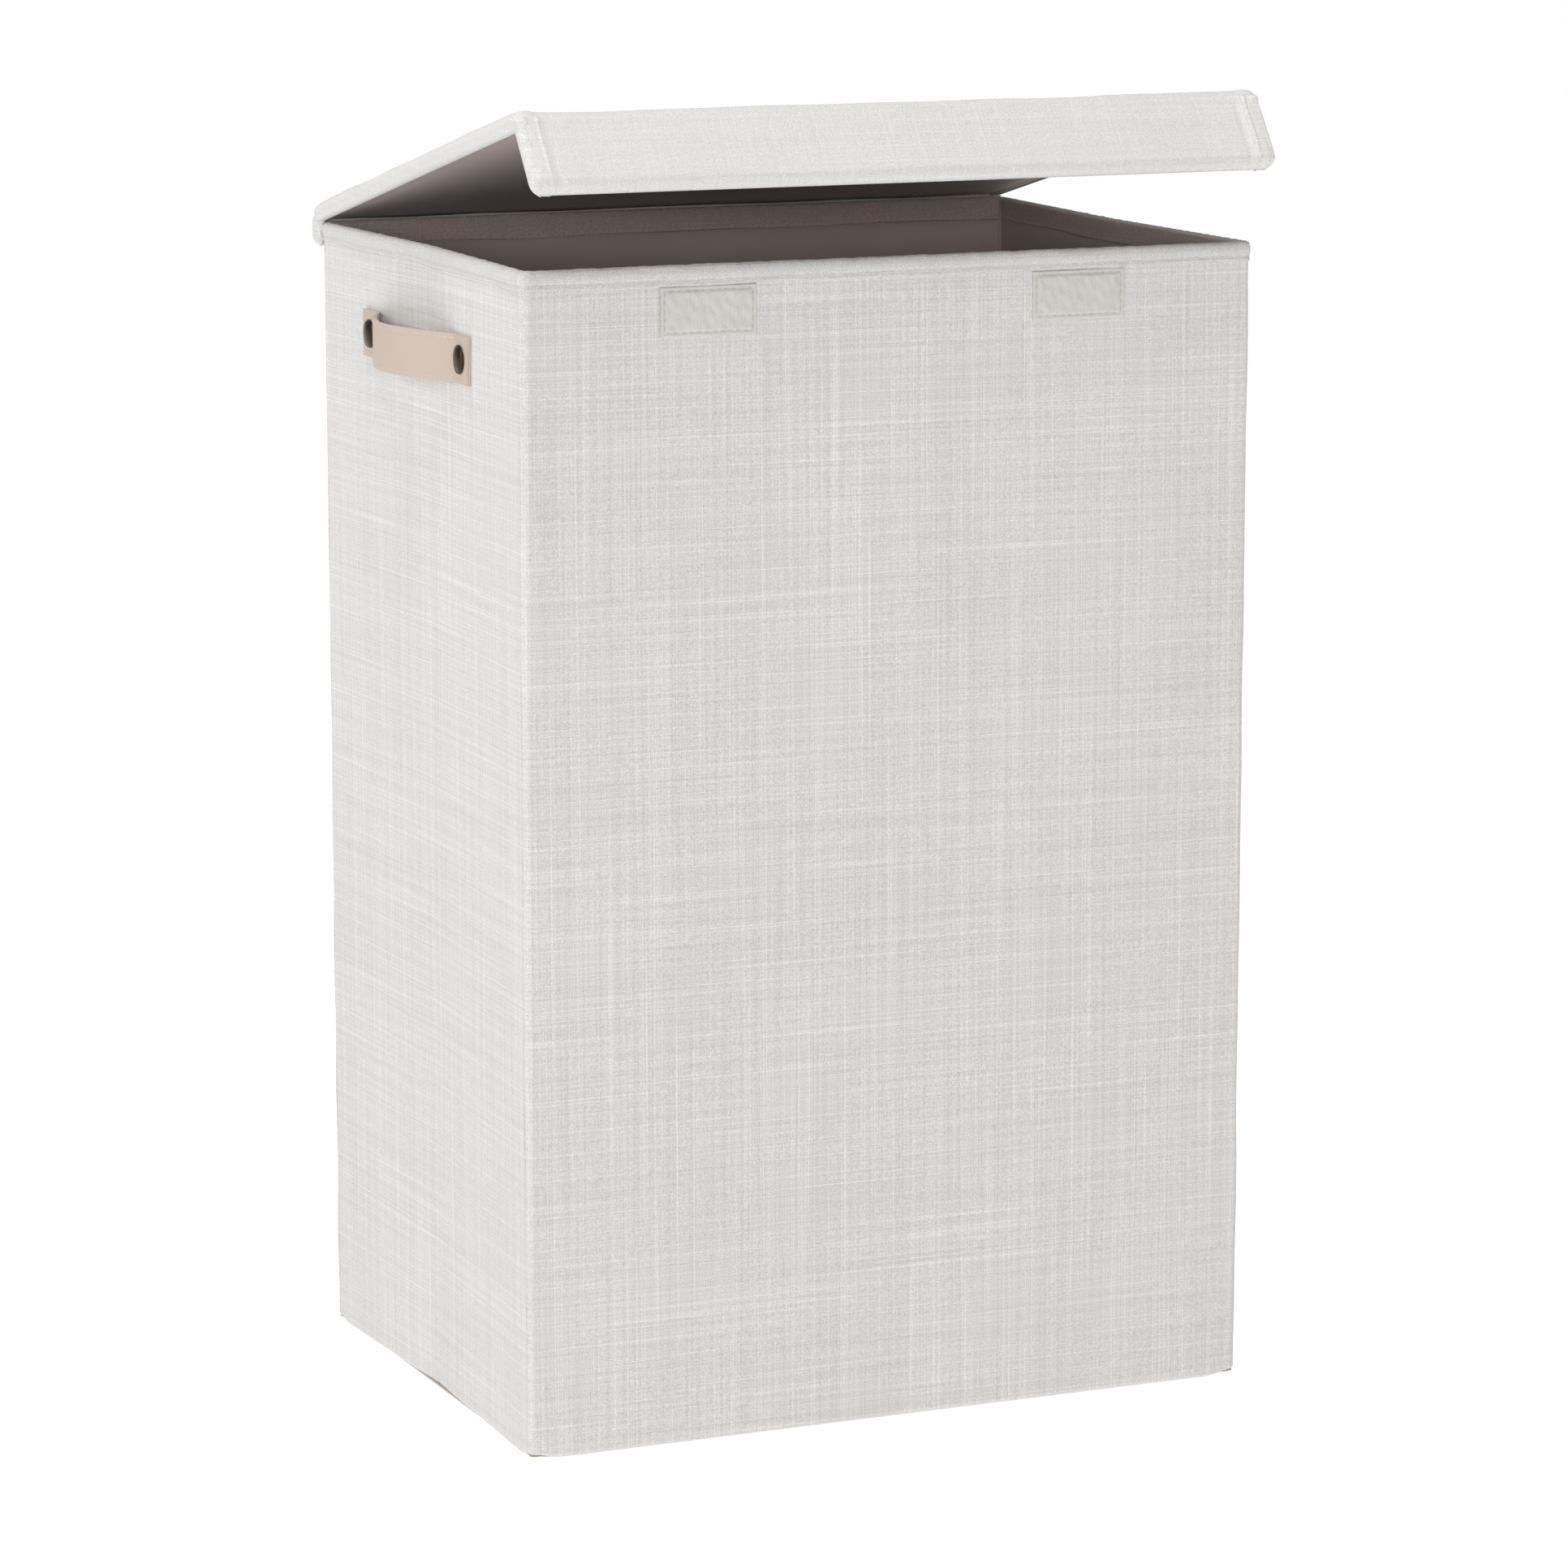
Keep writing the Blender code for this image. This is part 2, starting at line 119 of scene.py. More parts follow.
@dataclass(frozen=True)
class BinSizes:
    """The bin's own sizes, all read from the frame."""

    half_width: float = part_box("front_rim_binding")[1].x
    half_depth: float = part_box("back_rim_binding")[1].y
    height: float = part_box("front_rim_binding")[1].z
    foot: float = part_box("front_board")[0].z
    band_foot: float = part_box("front_rim_binding")[0].z
    facing_foot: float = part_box("front_rim_facing")[0].z
    wall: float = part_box("back_rim_binding")[1].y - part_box("back_lining")[0].y
    cover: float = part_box("front_cover")[1].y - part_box("front_cover")[0].y
    lining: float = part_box("front_lining")[1].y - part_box("front_lining")[0].y
    side_axis: Vector = field(default_factory=lambda: joint_place("collapse"))
    crease_axis: Vector = field(default_factory=lambda: joint_place("left_crease_fold"))

    @property
    def lean(self) -> float:
        """How far each half of a side wall leans in, in radians."""
        across = self.crease_axis.x - self.side_axis.x
        along = self.side_axis.y - self.crease_axis.y
        half_length = sqrt(across**2 + along**2 - self.wall**2)
        return atan2(across, along) + atan(self.wall / half_length)

    def side_x(self, y: float) -> float:
        """How far a side wall's outer face is from the middle plane, at a distance from its crease."""
        return -self.crease_axis.x + abs(y) * tan(self.lean)


SIZES = BinSizes()


# ---- mesh helpers


def drift(u: np.ndarray, v: np.ndarray, seed: int, size: float) -> np.ndarray:
    """A smooth, slow unevenness, the same each run.

    Args:
        u, v: Where on the cloth, in metres.
        seed: Which of the patterns to use.
        size: How far apart the highs and lows are, in metres.

    Returns:
        Values of about -1 to 1.
    """
    draw = np.random.default_rng(seed)
    total = np.zeros(np.broadcast(u, v).shape)
    waves = 6
    for _ in range(waves):
        turn, phase, rate = draw.uniform(0, 2 * pi), draw.uniform(0, 2 * pi), draw.uniform(0.6, 1.6)
        total += np.sin((u * cos(turn) + v * sin(turn)) * 2 * pi * rate / size + phase)
    return total / sqrt(waves)


def bell(distance: np.ndarray, width: float) -> np.ndarray:
    """A bump of height 1 that fades over a width."""
    return np.exp(-((distance / width) ** 2))


def quarter_round(to_edge: np.ndarray, radius: float) -> np.ndarray:
    """The height, as a share, of a rounded edge at distances from where it starts."""
    return np.sqrt(np.clip(1 - (1 - np.clip(to_edge / radius, 0, 1)) ** 2, 0, 1))


def between(near: np.ndarray, middle: np.ndarray, low: float, high: float) -> np.ndarray:
    """Steps from low to high, with the same close ones at both ends."""
    return np.concatenate([low + near, middle, high - near[::-1]])


def unit(ways: np.ndarray) -> np.ndarray:
    """Directions brought to length 1."""
    return ways / np.linalg.norm(ways, axis=-1, keepdims=True)


def distances(line: np.ndarray) -> np.ndarray:
    """The distance of each point of a line from its start."""
    steps = np.linalg.norm(np.diff(line, axis=0), axis=1)
    return np.concatenate([[0.0], np.cumsum(steps)])


def at_steps(new: np.ndarray, old: np.ndarray, values: np.ndarray) -> np.ndarray:
    """Rows of values at new distances along a line, from those at the old ones."""
    return np.stack([np.interp(new, old, column) for column in values.T], axis=1)


def in_scene(name: str, data: bpy.types.ID) -> bpy.types.Object:
    """An object in the scene, made from its data."""
    made = bpy.data.objects.new(name, data)
    bpy.context.scene.collection.objects.link(made)
    return made


@dataclass
class Weft:
    """Points and faces gathered into one mesh."""

    points: list[np.ndarray] = field(default_factory=list)
    faces: list[tuple[int, ...]] = field(default_factory=list)
    count: int = 0

    def grid(self, points: np.ndarray, wrap: bool = False, caps: bool = False) -> None:
        """Adds a grid of quads.

        Args:
            points: Places, shaped (rows, columns, 3).
            wrap: True if each row closes on itself.
            caps: True to close the first and last rows with a face.
        """
        rows, columns = points.shape[:2]
        start = self.count
        self.points.append(points.reshape(-1, 3))
        self.count += rows * columns
        last = columns if wrap else columns - 1
        for i in range(rows - 1):
            for j in range(last):
                a, b = start + i * columns + j, start + i * columns + (j + 1) % columns
                self.faces.append((a, a + columns, b + columns, b))
        if caps:
            self.faces.append(tuple(start + j for j in range(columns)))
            end = start + (rows - 1) * columns
            self.faces.append(tuple(end + j for j in reversed(range(columns))))

    def tube(self, line: np.ndarray, out: np.ndarray, radius: np.ndarray, sides: int = 6) -> None:
        """Adds a closed tube.

        Args:
            line: Its centres, shaped (n, 3).
            out: A direction square to the line at each centre.
            radius: Its radius at each centre.
            sides: How many faces go round it.
        """
        across = np.cross(unit(np.gradient(line, axis=0)), out)
        turn = np.arange(sides) * 2 * pi / sides
        ring = out[:, None] * np.cos(turn)[:, None] + across[:, None] * np.sin(turn)[:, None]
        self.grid(line[:, None] + ring * np.asarray(radius)[:, None, None], wrap=True, caps=True)

    def piece(self, name: str, finish: "Finish", sharp: float = 60.0) -> bpy.types.Object:
        """Makes the mesh an object with its finish."""
        mesh = bpy.data.meshes.new(name)
        mesh.from_pydata(np.concatenate(self.points).tolist(), [], self.faces)
        mesh.validate()
        mesh.shade_smooth()
        mesh.set_sharp_from_angle(angle=radians(sharp))
        made = in_scene(name, mesh)
        mesh.materials.append(finish.material())
        log.info("%s: %d faces, %s", name, len(mesh.polygons), finish.slot)
        return made


def cloth(name: str, points: np.ndarray, finish: "Finish", thickness: float) -> bpy.types.Object:
    """A sheet of cloth whose seen side is the grid's front.

    Args:
        name: The piece's name.
        points: Its seen side, shaped (rows, columns, 3).
        finish: What it is made of.
        thickness: How thick the cloth is, which goes behind the grid.

    Returns:
        The sheet.
    """
    made = Weft()
    made.grid(points)
    sheet = made.piece(name, finish)
    thick = sheet.modifiers.new("thickness", "SOLIDIFY")
    thick.thickness = thickness
    thick.offset = -1.0
    return sheet


# ---- finishes


class Recipe:
    """A node material in the making."""

    def __init__(self, name: str) -> None:
        """Starts from a plain Principled material."""
        self.made = bpy.data.materials.new(name)
        self.made.use_nodes = True
        self.tree = self.made.node_tree
        self.shader = self.tree.nodes["Principled BSDF"]
        self.place = self.node("ShaderNodeTexCoord")

    @property
    def spot(self) -> bpy.types.NodeSocket:
        """The point's place in the piece's own frame."""
        return self.place.outputs["Object"]

    def node(self, kind: str, settings: dict | None = None, **inputs) -> bpy.types.Node:
        """Adds a node.

        Args:
            kind: Blender's name for the node.
            settings: Its properties.
            inputs: Its inputs, by name with _ for a space, or by place as n0, n1. A socket is linked.

        Returns:
            The node.
        """
        made = self.tree.nodes.new(kind)
        for key, value in (settings or {}).items():
            setattr(made, key, value)
        for key, value in inputs.items():
            by_place = key[0] == "n" and key[1:].isdigit()
            socket = made.inputs[int(key[1:]) if by_place else key.replace("_", " ")]
            if isinstance(value, bpy.types.NodeSocket):
                self.tree.links.new(value, socket)
            else:
                socket.default_value = value
        return made

    def math(self, operation: str, a, b=0.0, c=0.0) -> bpy.types.NodeSocket:
        """A sum of two or three numbers or sockets."""
        made = self.node("ShaderNodeMath", {"operation": operation}, n0=a, n1=b, n2=c)
        return made.outputs[0]

    def times(self, a, b) -> bpy.types.NodeSocket:
        """Two numbers or sockets multiplied."""
        return self.math("MULTIPLY", a, b)

    def scaled(self, value, by, plus) -> bpy.types.NodeSocket:
        """A value times another, plus a third."""
        return self.math("MULTIPLY_ADD", value, by, plus)

    def vary(self, noise, by: float, plus) -> bpy.types.NodeSocket:
        """A value that noise of 0 to 1 makes a little more or less."""
        return self.scaled(self.math("SUBTRACT", noise, 0.5), by, plus)

    def vector(self, x, y, z=0.0) -> bpy.types.NodeSocket:
        """Three numbers or sockets as one vector."""
        return self.node("ShaderNodeCombineXYZ", n0=x, n1=y, n2=z).outputs[0]

    def noise(self, place, scale: float = 1.0, detail: float = 2.0) -> bpy.types.NodeSocket:
        """Soft noise of 0 to 1 at a place."""
        made = self.node("ShaderNodeTexNoise", Vector=place, Scale=scale, Detail=detail)
        return made.outputs["Fac"]

    def threads(self) -> tuple[bpy.types.NodeSocket, bpy.types.NodeSocket]:
        """Where a point is across and along the cloth, from its place and which way it faces."""
        place = self.node("ShaderNodeSeparateXYZ", Vector=self.spot).outputs
        facing = self.node("ShaderNodeSeparateXYZ", Vector=self.place.outputs["Normal"]).outputs
        sideways = self.math("GREATER_THAN", self.math("ABSOLUTE", facing["X"]), 0.7)
        level = self.math("GREATER_THAN", self.math("ABSOLUTE", facing["Z"]), 0.72)
        across = self.mix(sideways, place["X"], place["Y"])
        along = self.mix(level, place["Z"], place["Y"])
        return across, along

    def mix(self, share, a, b) -> bpy.types.NodeSocket:
        """A number between a and b."""
        return self.node("ShaderNodeMix", {"data_type": "FLOAT"}, n0=share, n2=a, n3=b).outputs[0]

    def tint(self, colour: tuple[float, float, float], share) -> bpy.types.NodeSocket:
        """A colour made lighter or darker by a socket."""
        made = self.node("ShaderNodeVectorMath", {"operation": "SCALE"}, n0=colour, Scale=share)
        return made.outputs["Vector"]

    def bump(self, height, strength: float, depth: float, under=None) -> bpy.types.NodeSocket:
        """A fine relief, laid over another one if given."""
        inputs = {"Height": height, "Strength": strength, "Distance": depth}
        if under is not None:
            inputs["Normal"] = under
        return self.node("ShaderNodeBump", **inputs).outputs["Normal"]

    def finish(self, colour, roughness, normal, **plain: float) -> bpy.types.Material:
        """Joins colour, roughness and relief to the shader, and sets its plain values.

        Args:
            colour: A colour socket.
            roughness: A roughness socket.
            normal: A normal socket.
            plain: Values that are the same all over, by the shader's input names with _ for a space.

        Returns:
            The material.
        """
        links = self.tree.links
        links.new(colour, self.shader.inputs["Base Color"])
        links.new(roughness, self.shader.inputs["Roughness"])
        links.new(normal, self.shader.inputs["Normal"])
        for key, value in plain.items():
            self.shader.inputs[key.replace("_", " ")].default_value = value
        return self.made


@dataclass(frozen=True)
class Finish:
    """What a piece is made of. Each kind of stock is made once."""

    name: str
    slot: str
    colour: tuple[float, float, float]

    def material(self) -> bpy.types.Material:
        """The material, which is made when it is first asked for."""
        return bpy.data.materials.get(self.name) or self.build(Recipe(self.name))

    def build(self, recipe: Recipe) -> bpy.types.Material:
        """Makes the material's nodes."""
        raise NotImplementedError


@dataclass(frozen=True)
class SlubWeave(Finish):
    """A plain weave of uneven threads, both ways, with long pale slubs."""

    pitch: float = 0.00062
    slub: float = 0.17
    grain: float = 0.3
    stagger: float = 0.618
    relief: float = 0.5
    sheen: float = 0.2
    thread_width: float = 1.15
    upright_length: float = 260.0
    lying_length: float = 170.0
    pattern_seeds: tuple[float, float] = (0.37, 7.41)
    pale_from: tuple[float, float] = (0.07, 0.09)

    def streaks(self, recipe: Recipe, across, along, length: float, seed: float):
        """Noise drawn out along one set of threads, about 0 in its middle.

        Args:
            recipe: The material in the making.
            across, along: Where on the cloth, as sockets.
            length: The streaks' length, in thread pitches.
            seed: Which of the patterns to use.

        Returns:
            A socket.
        """
        thread = recipe.times(across, 1 / (self.thread_width * self.pitch))
        reach = recipe.times(along, 1 / (length * self.pitch))
        place = recipe.vector(thread, recipe.scaled(thread, self.stagger, reach), seed)
        return recipe.math("SUBTRACT", recipe.noise(place, 1.0, 2.0), 0.5)

    def build(self, recipe: Recipe) -> bpy.types.Material:
        """Threads that pass over and under, slubs both ways, and a slow change of tone."""
        across, along = recipe.threads()
        uneven = recipe.noise(recipe.vector(across, along), 90.0)
        wander = recipe.times(uneven, 2 * self.pitch)
        ways = [
            recipe.math("SINE", recipe.times(recipe.math("ADD", way, wander), pi / self.pitch))
            for way in (across, along)
        ]
        over = recipe.times(*ways)
        upright = self.streaks(recipe, across, along, self.upright_length, self.pattern_seeds[0])
        lying = self.streaks(recipe, along, across, self.lying_length, self.pattern_seeds[1])
        slubs = recipe.math("ADD", upright, lying)
        crests = [
            recipe.math("MAXIMUM", recipe.math("SUBTRACT", streak, least), 0.0)
            for streak, least in zip((upright, lying), self.pale_from)
        ]
        pale = recipe.math("ADD", *crests)
        grain = recipe.noise(recipe.spot, 1 / (1.25 * self.pitch), 1.5)
        cloud = recipe.noise(recipe.spot, 9.0, 2.0)
        tone = recipe.scaled(slubs, self.slub * 2.2, 0.995)
        tone = recipe.scaled(pale, self.slub * 3.0, tone)
        tone = recipe.vary(grain, self.grain * 2, tone)
        tone = recipe.scaled(over, 0.07, tone)
        tone = recipe.vary(cloud, 0.06, tone)
        height = recipe.scaled(over, 0.3, recipe.scaled(slubs, 1.2, grain))
        return recipe.finish(
            recipe.tint(self.colour, tone),
            recipe.scaled(grain, 0.12, 0.84),
            recipe.bump(height, self.relief, self.pitch * 0.5),
            Sheen_Weight=self.sheen,
            Sheen_Roughness=0.5,
            Specular_IOR_Level=0.25,
        )


@dataclass(frozen=True)
class SmoothLining(Finish):
    """A close, smooth woven lining with faint creases, whose tone carries painted shade in the crease
    hollows.
    """

    pitch: float = 0.0006

    def build(self, recipe: Recipe) -> bpy.types.Material:
        """Fine threads under soft creases, with painted shade in the crease hollows and lighter tone on
        their crests.
        """
        across, along = recipe.threads()
        rib, pick = (
            recipe.math("SINE", recipe.times(way, 2 * pi / self.pitch)) for way in (across, along)
        )
        grain = recipe.noise(recipe.spot, 900.0)
        soft = recipe.noise(recipe.spot, 14.0, 3.0)
        # The tone follows the same noise as the crease relief: painted shade in the crease hollows,
        # lighter on the crests.
        tone = recipe.vary(soft, 0.22, 1.0)
        tone = recipe.vary(grain, 0.12, tone)
        fine = recipe.scaled(rib, 0.3, recipe.scaled(pick, 0.3, grain))
        creases = recipe.bump(soft, 0.35, 0.003)
        return recipe.finish(
            recipe.tint(self.colour, tone),
            recipe.scaled(grain, 0.15, 0.72),
            recipe.bump(fine, 0.25, 0.0001, creases),
            Sheen_Weight=0.1,
        )


@dataclass(frozen=True)
class Leatherette(Finish):
    """Smooth coated leather with a faint grain."""

    def build(self, recipe: Recipe) -> bpy.types.Material:
        """Small rounded cells, pores and a slightly rubbed tone."""
        place = recipe.spot
        cells = recipe.node("ShaderNodeTexVoronoi", Vector=place, Scale=1600.0).outputs["Distance"]
        rub = recipe.noise(place, 60.0, 3.0)
        pores = recipe.noise(place, 2600.0, 1.0)
        tone = recipe.vary(rub, 0.07, 1.0)
        tone = recipe.vary(pores, 0.05, tone)
        height = recipe.scaled(pores, 0.4, cells)
        return recipe.finish(
            recipe.tint(self.colour, tone),
            recipe.scaled(rub, 0.15, 0.5),
            recipe.bump(height, 0.22, 0.0001),
            Specular_IOR_Level=0.4,
        )


@dataclass(frozen=True)
class AntiqueBrass(Finish):
    """Dark brass, rubbed a little brighter in places."""

    def build(self, recipe: Recipe) -> bpy.types.Material:
        """Brushed metal with a patchy patina."""
        place = recipe.spot
        patina = recipe.noise(place, 420.0, 4.0)
        scratches = recipe.noise(place, 3000.0, 1.0)
        tone = recipe.scaled(patina, 0.7, 0.6)
        return recipe.finish(
            recipe.tint(self.colour, tone),
            recipe.scaled(patina, 0.16, 0.24),
            recipe.bump(scratches, 0.06, 0.0001),
            Metallic=1.0,
        )


@dataclass(frozen=True)
class BrushedPile(Finish):
    """A brushed loop pile, or a plain moulded tape when the pile is low."""

    fibre: float = 0.0005
    depth: float = 0.0005
    roughness: float = 0.9
    sheen: float = 0.4

    def build(self, recipe: Recipe) -> bpy.types.Material:
        """Tangled fibres with tufts that stand lighter."""
        place = recipe.spot
        swirl = recipe.noise(place, 240.0, 3.0)
        tangle = recipe.noise(place, 1 / self.fibre, 4.0)
        tuft = recipe.noise(place, 130.0, 2.0)
        tone = recipe.vary(tuft, 0.16, 1.0)
        tone = recipe.vary(tangle, 0.16, tone)
        height = recipe.math("ADD", tangle, swirl)
        return recipe.finish(
            recipe.tint(self.colour, tone),
            recipe.scaled(tangle, 0.1, self.roughness - 0.05),
            recipe.bump(height, 0.7, self.depth),
            Sheen_Weight=self.sheen,
        )


@dataclass(frozen=True)
class SewingThread(Finish):
    """Twisted sewing thread."""

    twist: float = 0.0004

    def build(self, recipe: Recipe) -> bpy.types.Material:
        """Two plies that wind round each other."""
        place = recipe.node("ShaderNodeSeparateXYZ", Vector=recipe.spot).outputs
        slant = recipe.math("ADD", recipe.math("ADD", place["X"], place["Y"]), place["Z"])
        ply = recipe.math("SINE", recipe.times(slant, 2 * pi / self.twist))
        fluff = recipe.noise(recipe.spot, 2500.0)
        tone = recipe.scaled(ply, 0.06, recipe.math("ADD", fluff, 0.5))
        return recipe.finish(
            recipe.tint(self.colour, tone),
            recipe.scaled(fluff, 0.2, 0.6),
            recipe.bump(ply, 0.5, 0.0001),
            Sheen_Weight=0.2,
        )


@dataclass(frozen=True)
class Greyboard(Finish):
    """Pressed board with flecks of fibre."""

    def build(self, recipe: Recipe) -> bpy.types.Material:
        """Specks and short fibres in a soft tone."""
        place = recipe.spot
        fleck = recipe.noise(place, 700.0, 3.0)
        pulp = recipe.noise(place, 40.0, 3.0)
        tone = recipe.vary(fleck, 0.5, 1.0)
        tone = recipe.vary(pulp, 0.2, tone)
        return recipe.finish(
            recipe.tint(self.colour, tone),
            recipe.scaled(fleck, 0.1, 0.85),
            recipe.bump(fleck, 0.4, 0.0003),
        )


OFF_WHITE = SlubWeave("off_white_weave", "cover_fabric", (0.655, 0.640, 0.624))
OFF_WHITE_LID = SlubWeave("lid_weave", "cover_fabric", (0.665, 0.652, 0.638), slub=0.07, grain=0.26)
OFF_WHITE_BINDING = SlubWeave(
    "rim_weave", "cover_fabric", (0.655, 0.638, 0.618), slub=0.05, grain=0.36, relief=0.9
)
TAUPE = SmoothLining("taupe_lining", "lining_fabric", (0.400, 0.325, 0.295))
TAUPE_FACING = SlubWeave(
    "taupe_facing", "facing_fabric", (0.480, 0.398, 0.365), slub=0.08, grain=0.5, relief=0.8, sheen=0.1
)
BEIGE_LEATHER = Leatherette("beige_leather", "strap_leather", (0.525, 0.435, 0.370))
STRAP_CORE = Leatherette("strap_core", "strap_leather", (0.74, 0.70, 0.64))
BRASS = AntiqueBrass("antique_brass", "rivet_brass", (0.050, 0.031, 0.018))
LOOP_PILE = BrushedPile("loop_pile", "loop_patch", (0.635, 0.612, 0.58))
HOOK_TAPE = BrushedPile(
    "hook_tape", "hook_patch", (0.68, 0.66, 0.62), depth=0.0001, roughness=0.5, sheen=0.0
)
PALE_THREAD = SewingThread("pale_thread", "cover_fabric", (0.70, 0.68, 0.645))
PATCH_THREAD = SewingThread("patch_thread", "loop_patch", (0.60, 0.575, 0.53))
STRAP_THREAD = SewingThread("strap_thread", "strap_leather", (0.68, 0.59, 0.50))
TAUPE_THREAD = SewingThread("taupe_thread", "facing_fabric", (0.40, 0.335, 0.305))
BOARD = Greyboard("pressed_greyboard", "greyboard", (0.32, 0.29, 0.25))


# ---- lines that the walls follow


@dataclass
class WallLine:
    """A stretch of the bin's outline in plan. Its outer side is on the right of the way it runs.

    place holds points of the outer face and out the directions away from the bin, both shaped (n, 2).
    room is how deep behind the outer face a piece may go at each point.
    """

    place: np.ndarray
    out: np.ndarray
    room: np.ndarray

    @property
    def along(self) -> np.ndarray:
        """The distance of each point from the start."""
        return distances(self.place)

    def surface(self, offset: np.ndarray, height: np.ndarray) -> np.ndarray:
        """Points off the outer face.

        Args:
            offset: How far outside it, shaped (points, columns) or (columns,).
            height: The heights, shaped alike.

        Returns:
            Places shaped (points, columns, 3).
        """
        shape = (len(self.place), np.shape(offset)[-1])
        offset = np.maximum(np.broadcast_to(offset, shape), -self.room[:, None])
        height = np.broadcast_to(height, shape)
        flat = self.place[:, None] + self.out[:, None] * offset[..., None]
        return np.dstack([flat, height])

    def then(self, other: "WallLine") -> "WallLine":
        """This stretch and the one after it, as one."""
        pairs = ((self.place, other.place), (self.out, other.out), (self.room, other.room))
        return WallLine(*(np.concatenate([first, second[1:]]) for first, second in pairs))

    def finer(self, parts: int) -> "WallLine":
        """The same stretch with more points.

        Args:
            parts: How many steps each step becomes.

        Returns:
            The stretch.
        """
        old = np.arange(len(self.place))
        new = np.linspace(0, old[-1], parts * int(old[-1]) + 1)

        place, out = (at_steps(new, old, values) for values in (self.place, self.out))
        return WallLine(place, unit(out), np.interp(new, old, self.room))

    def mirrored(self) -> "WallLine":
        """The same stretch on the other side of the bin."""
        flip = np.array([-1.0, 1.0])
        return WallLine(self.place[::-1] * flip, self.out[::-1] * flip, self.room[::-1])


DEEP = 0.02


def straight_line(start: np.ndarray, end: np.ndarray, step: float, close: float = 0.012) -> WallLine:
    """A flat stretch of wall, with closer points near its ends.

    Args:
        start, end: Its ends in plan.
        step: The distance between points.
        close: How near an end the points are closer.

    Returns:
        The stretch.
    """
    start, end = np.array(start, float), np.array(end, float)
    length = float(np.linalg.norm(end - start))
    near = np.array([0.0, 0.0006, 0.0014, 0.0026, 0.0045, 0.0075])
    middle = np.linspace(close, length - close, max(2, round((length - 2 * close) / step)))
    share = between(near, middle, 0.0, length) / length
    ahead = (end - start) / length
    out = np.array([ahead[1], -ahead[0]])
    place = start + (end - start) * share[:, None]
    return WallLine(place, np.tile(out, (len(place), 1)), np.full(len(place), DEEP))


def corner_line(axis: Vector, turns: tuple[float, float], radii: tuple[float, float]) -> WallLine:
    """A rounded upright corner about a joint's axis.

    Args:
        axis: The joint's axis.
        turns: The outward directions at its two ends, as angles in radians.
        radii: The distances from the axis to the outer face at its two ends.

    Returns:
        The stretch.
    """
    share = np.linspace(0, 1, 11)
    turn = turns[0] + (turns[1] - turns[0]) * share
    radius = radii[0] + (radii[1] - radii[0]) * share
    out = np.stack([np.cos(turn), np.sin(turn)], axis=1)
    return WallLine(np.array(axis[:2]) + out * radius[:, None], out, radius - 0.0002)


@dataclass(frozen=True)
class Outline:
    """The whole outline of the walls, stretch by stretch."""

    sizes: BinSizes = SIZES
    step: float = 0.0045

    @property
    def front_axis(self) -> Vector:
        """The left front corner's axis."""
        axis = self.sizes.side_axis
        return Vector((axis.x, -axis.y, 0))

    def side_ends(self) -> tuple[np.ndarray, np.ndarray]:
        """Where the left side's outer face meets its rear corner and its crease."""
        s = self.sizes
        out = np.array([-cos(s.lean), -sin(s.lean)])
        return np.array(s.side_axis[:2]) + out * s.wall, np.array(s.crease_axis[:2])

    def left_side(self) -> WallLine:
        """The left side, from the rear corner over the crease to the front corner."""
        rear, crease = self.side_ends()
        flip = np.array([1.0, -1.0])
        first = straight_line(rear, crease, self.step)
        second = straight_line(crease, rear * flip, self.step)
        line = first.then(second)
        line.out[len(first.place) - 1] = (-1.0, 0.0)
        return line

    def rear_corner(self) -> WallLine:
        """The left rear corner, from the back to the left side."""
        s = self.sizes
        radii = (s.half_depth - s.side_axis.y, s.wall)
        return corner_line(s.side_axis, (pi / 2, pi + s.lean), radii)

    def front_corner(self) -> WallLine:
        """The left front corner, from the left side to the front."""
        s = self.sizes
        radii = (s.wall, s.half_depth - s.side_axis.y)
        return corner_line(self.front_axis, (pi - s.lean, 3 * pi / 2), radii)

    def front(self) -> WallLine:
        """The front, from left to right, without its corners."""
        s = self.sizes
        left = np.array([s.side_axis.x, -s.half_depth])
        return straight_line(left, left * np.array([-1.0, 1.0]), self.step)

    def back(self) -> WallLine:
        """The back, from right to left, without its corners."""
        s = self.sizes
        right = np.array([-s.side_axis.x, s.half_depth])
        return straight_line(right, right * np.array([-1.0, 1.0]), self.step)


# ---- stitching


@dataclass(frozen=True)
class Stitching:
    """A row of running stitches that lie on a surface and dip into it at their ends."""

    pitch: float = 0.0047
    shown: float = 0.7
    radius: float = 0.00026
    rise: float = 0.00022
    seed: int = 3

    def sew(self, mesh: Weft, line: np.ndarray, out: np.ndarray) -> None:
        """Adds the stitches of one row to a mesh.

        Args:
            mesh: What to add them to.
            line: Points that the row follows, shaped (n, 3).
            out: The surface's outward direction at each point.
        """
        along = distances(line)
        count = int(along[-1] / self.pitch)
        draw = np.random.default_rng(self.seed)
        share = np.linspace(0, 1, 5)
        for i in range(count):
            shift = draw.uniform(-0.04, 0.04) * self.pitch
            at = (i + 0.5 - self.shown / 2 + self.shown * share) * self.pitch + shift
            middle, up = at_steps(at, along, line), unit(at_steps(at, along, out))
            arch = np.sin(pi * share)
            middle += up * (self.rise * arch - self.radius * 0.7 * (1 - arch))[:, None]
            mesh.tube(middle, up, self.radius * (0.55 + 0.45 * arch), sides=5)


# ---- walls


def bend_at_crease(piece: bpy.types.Object) -> None:
    """Fixes a piece's place into its mesh."""
    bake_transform(piece)


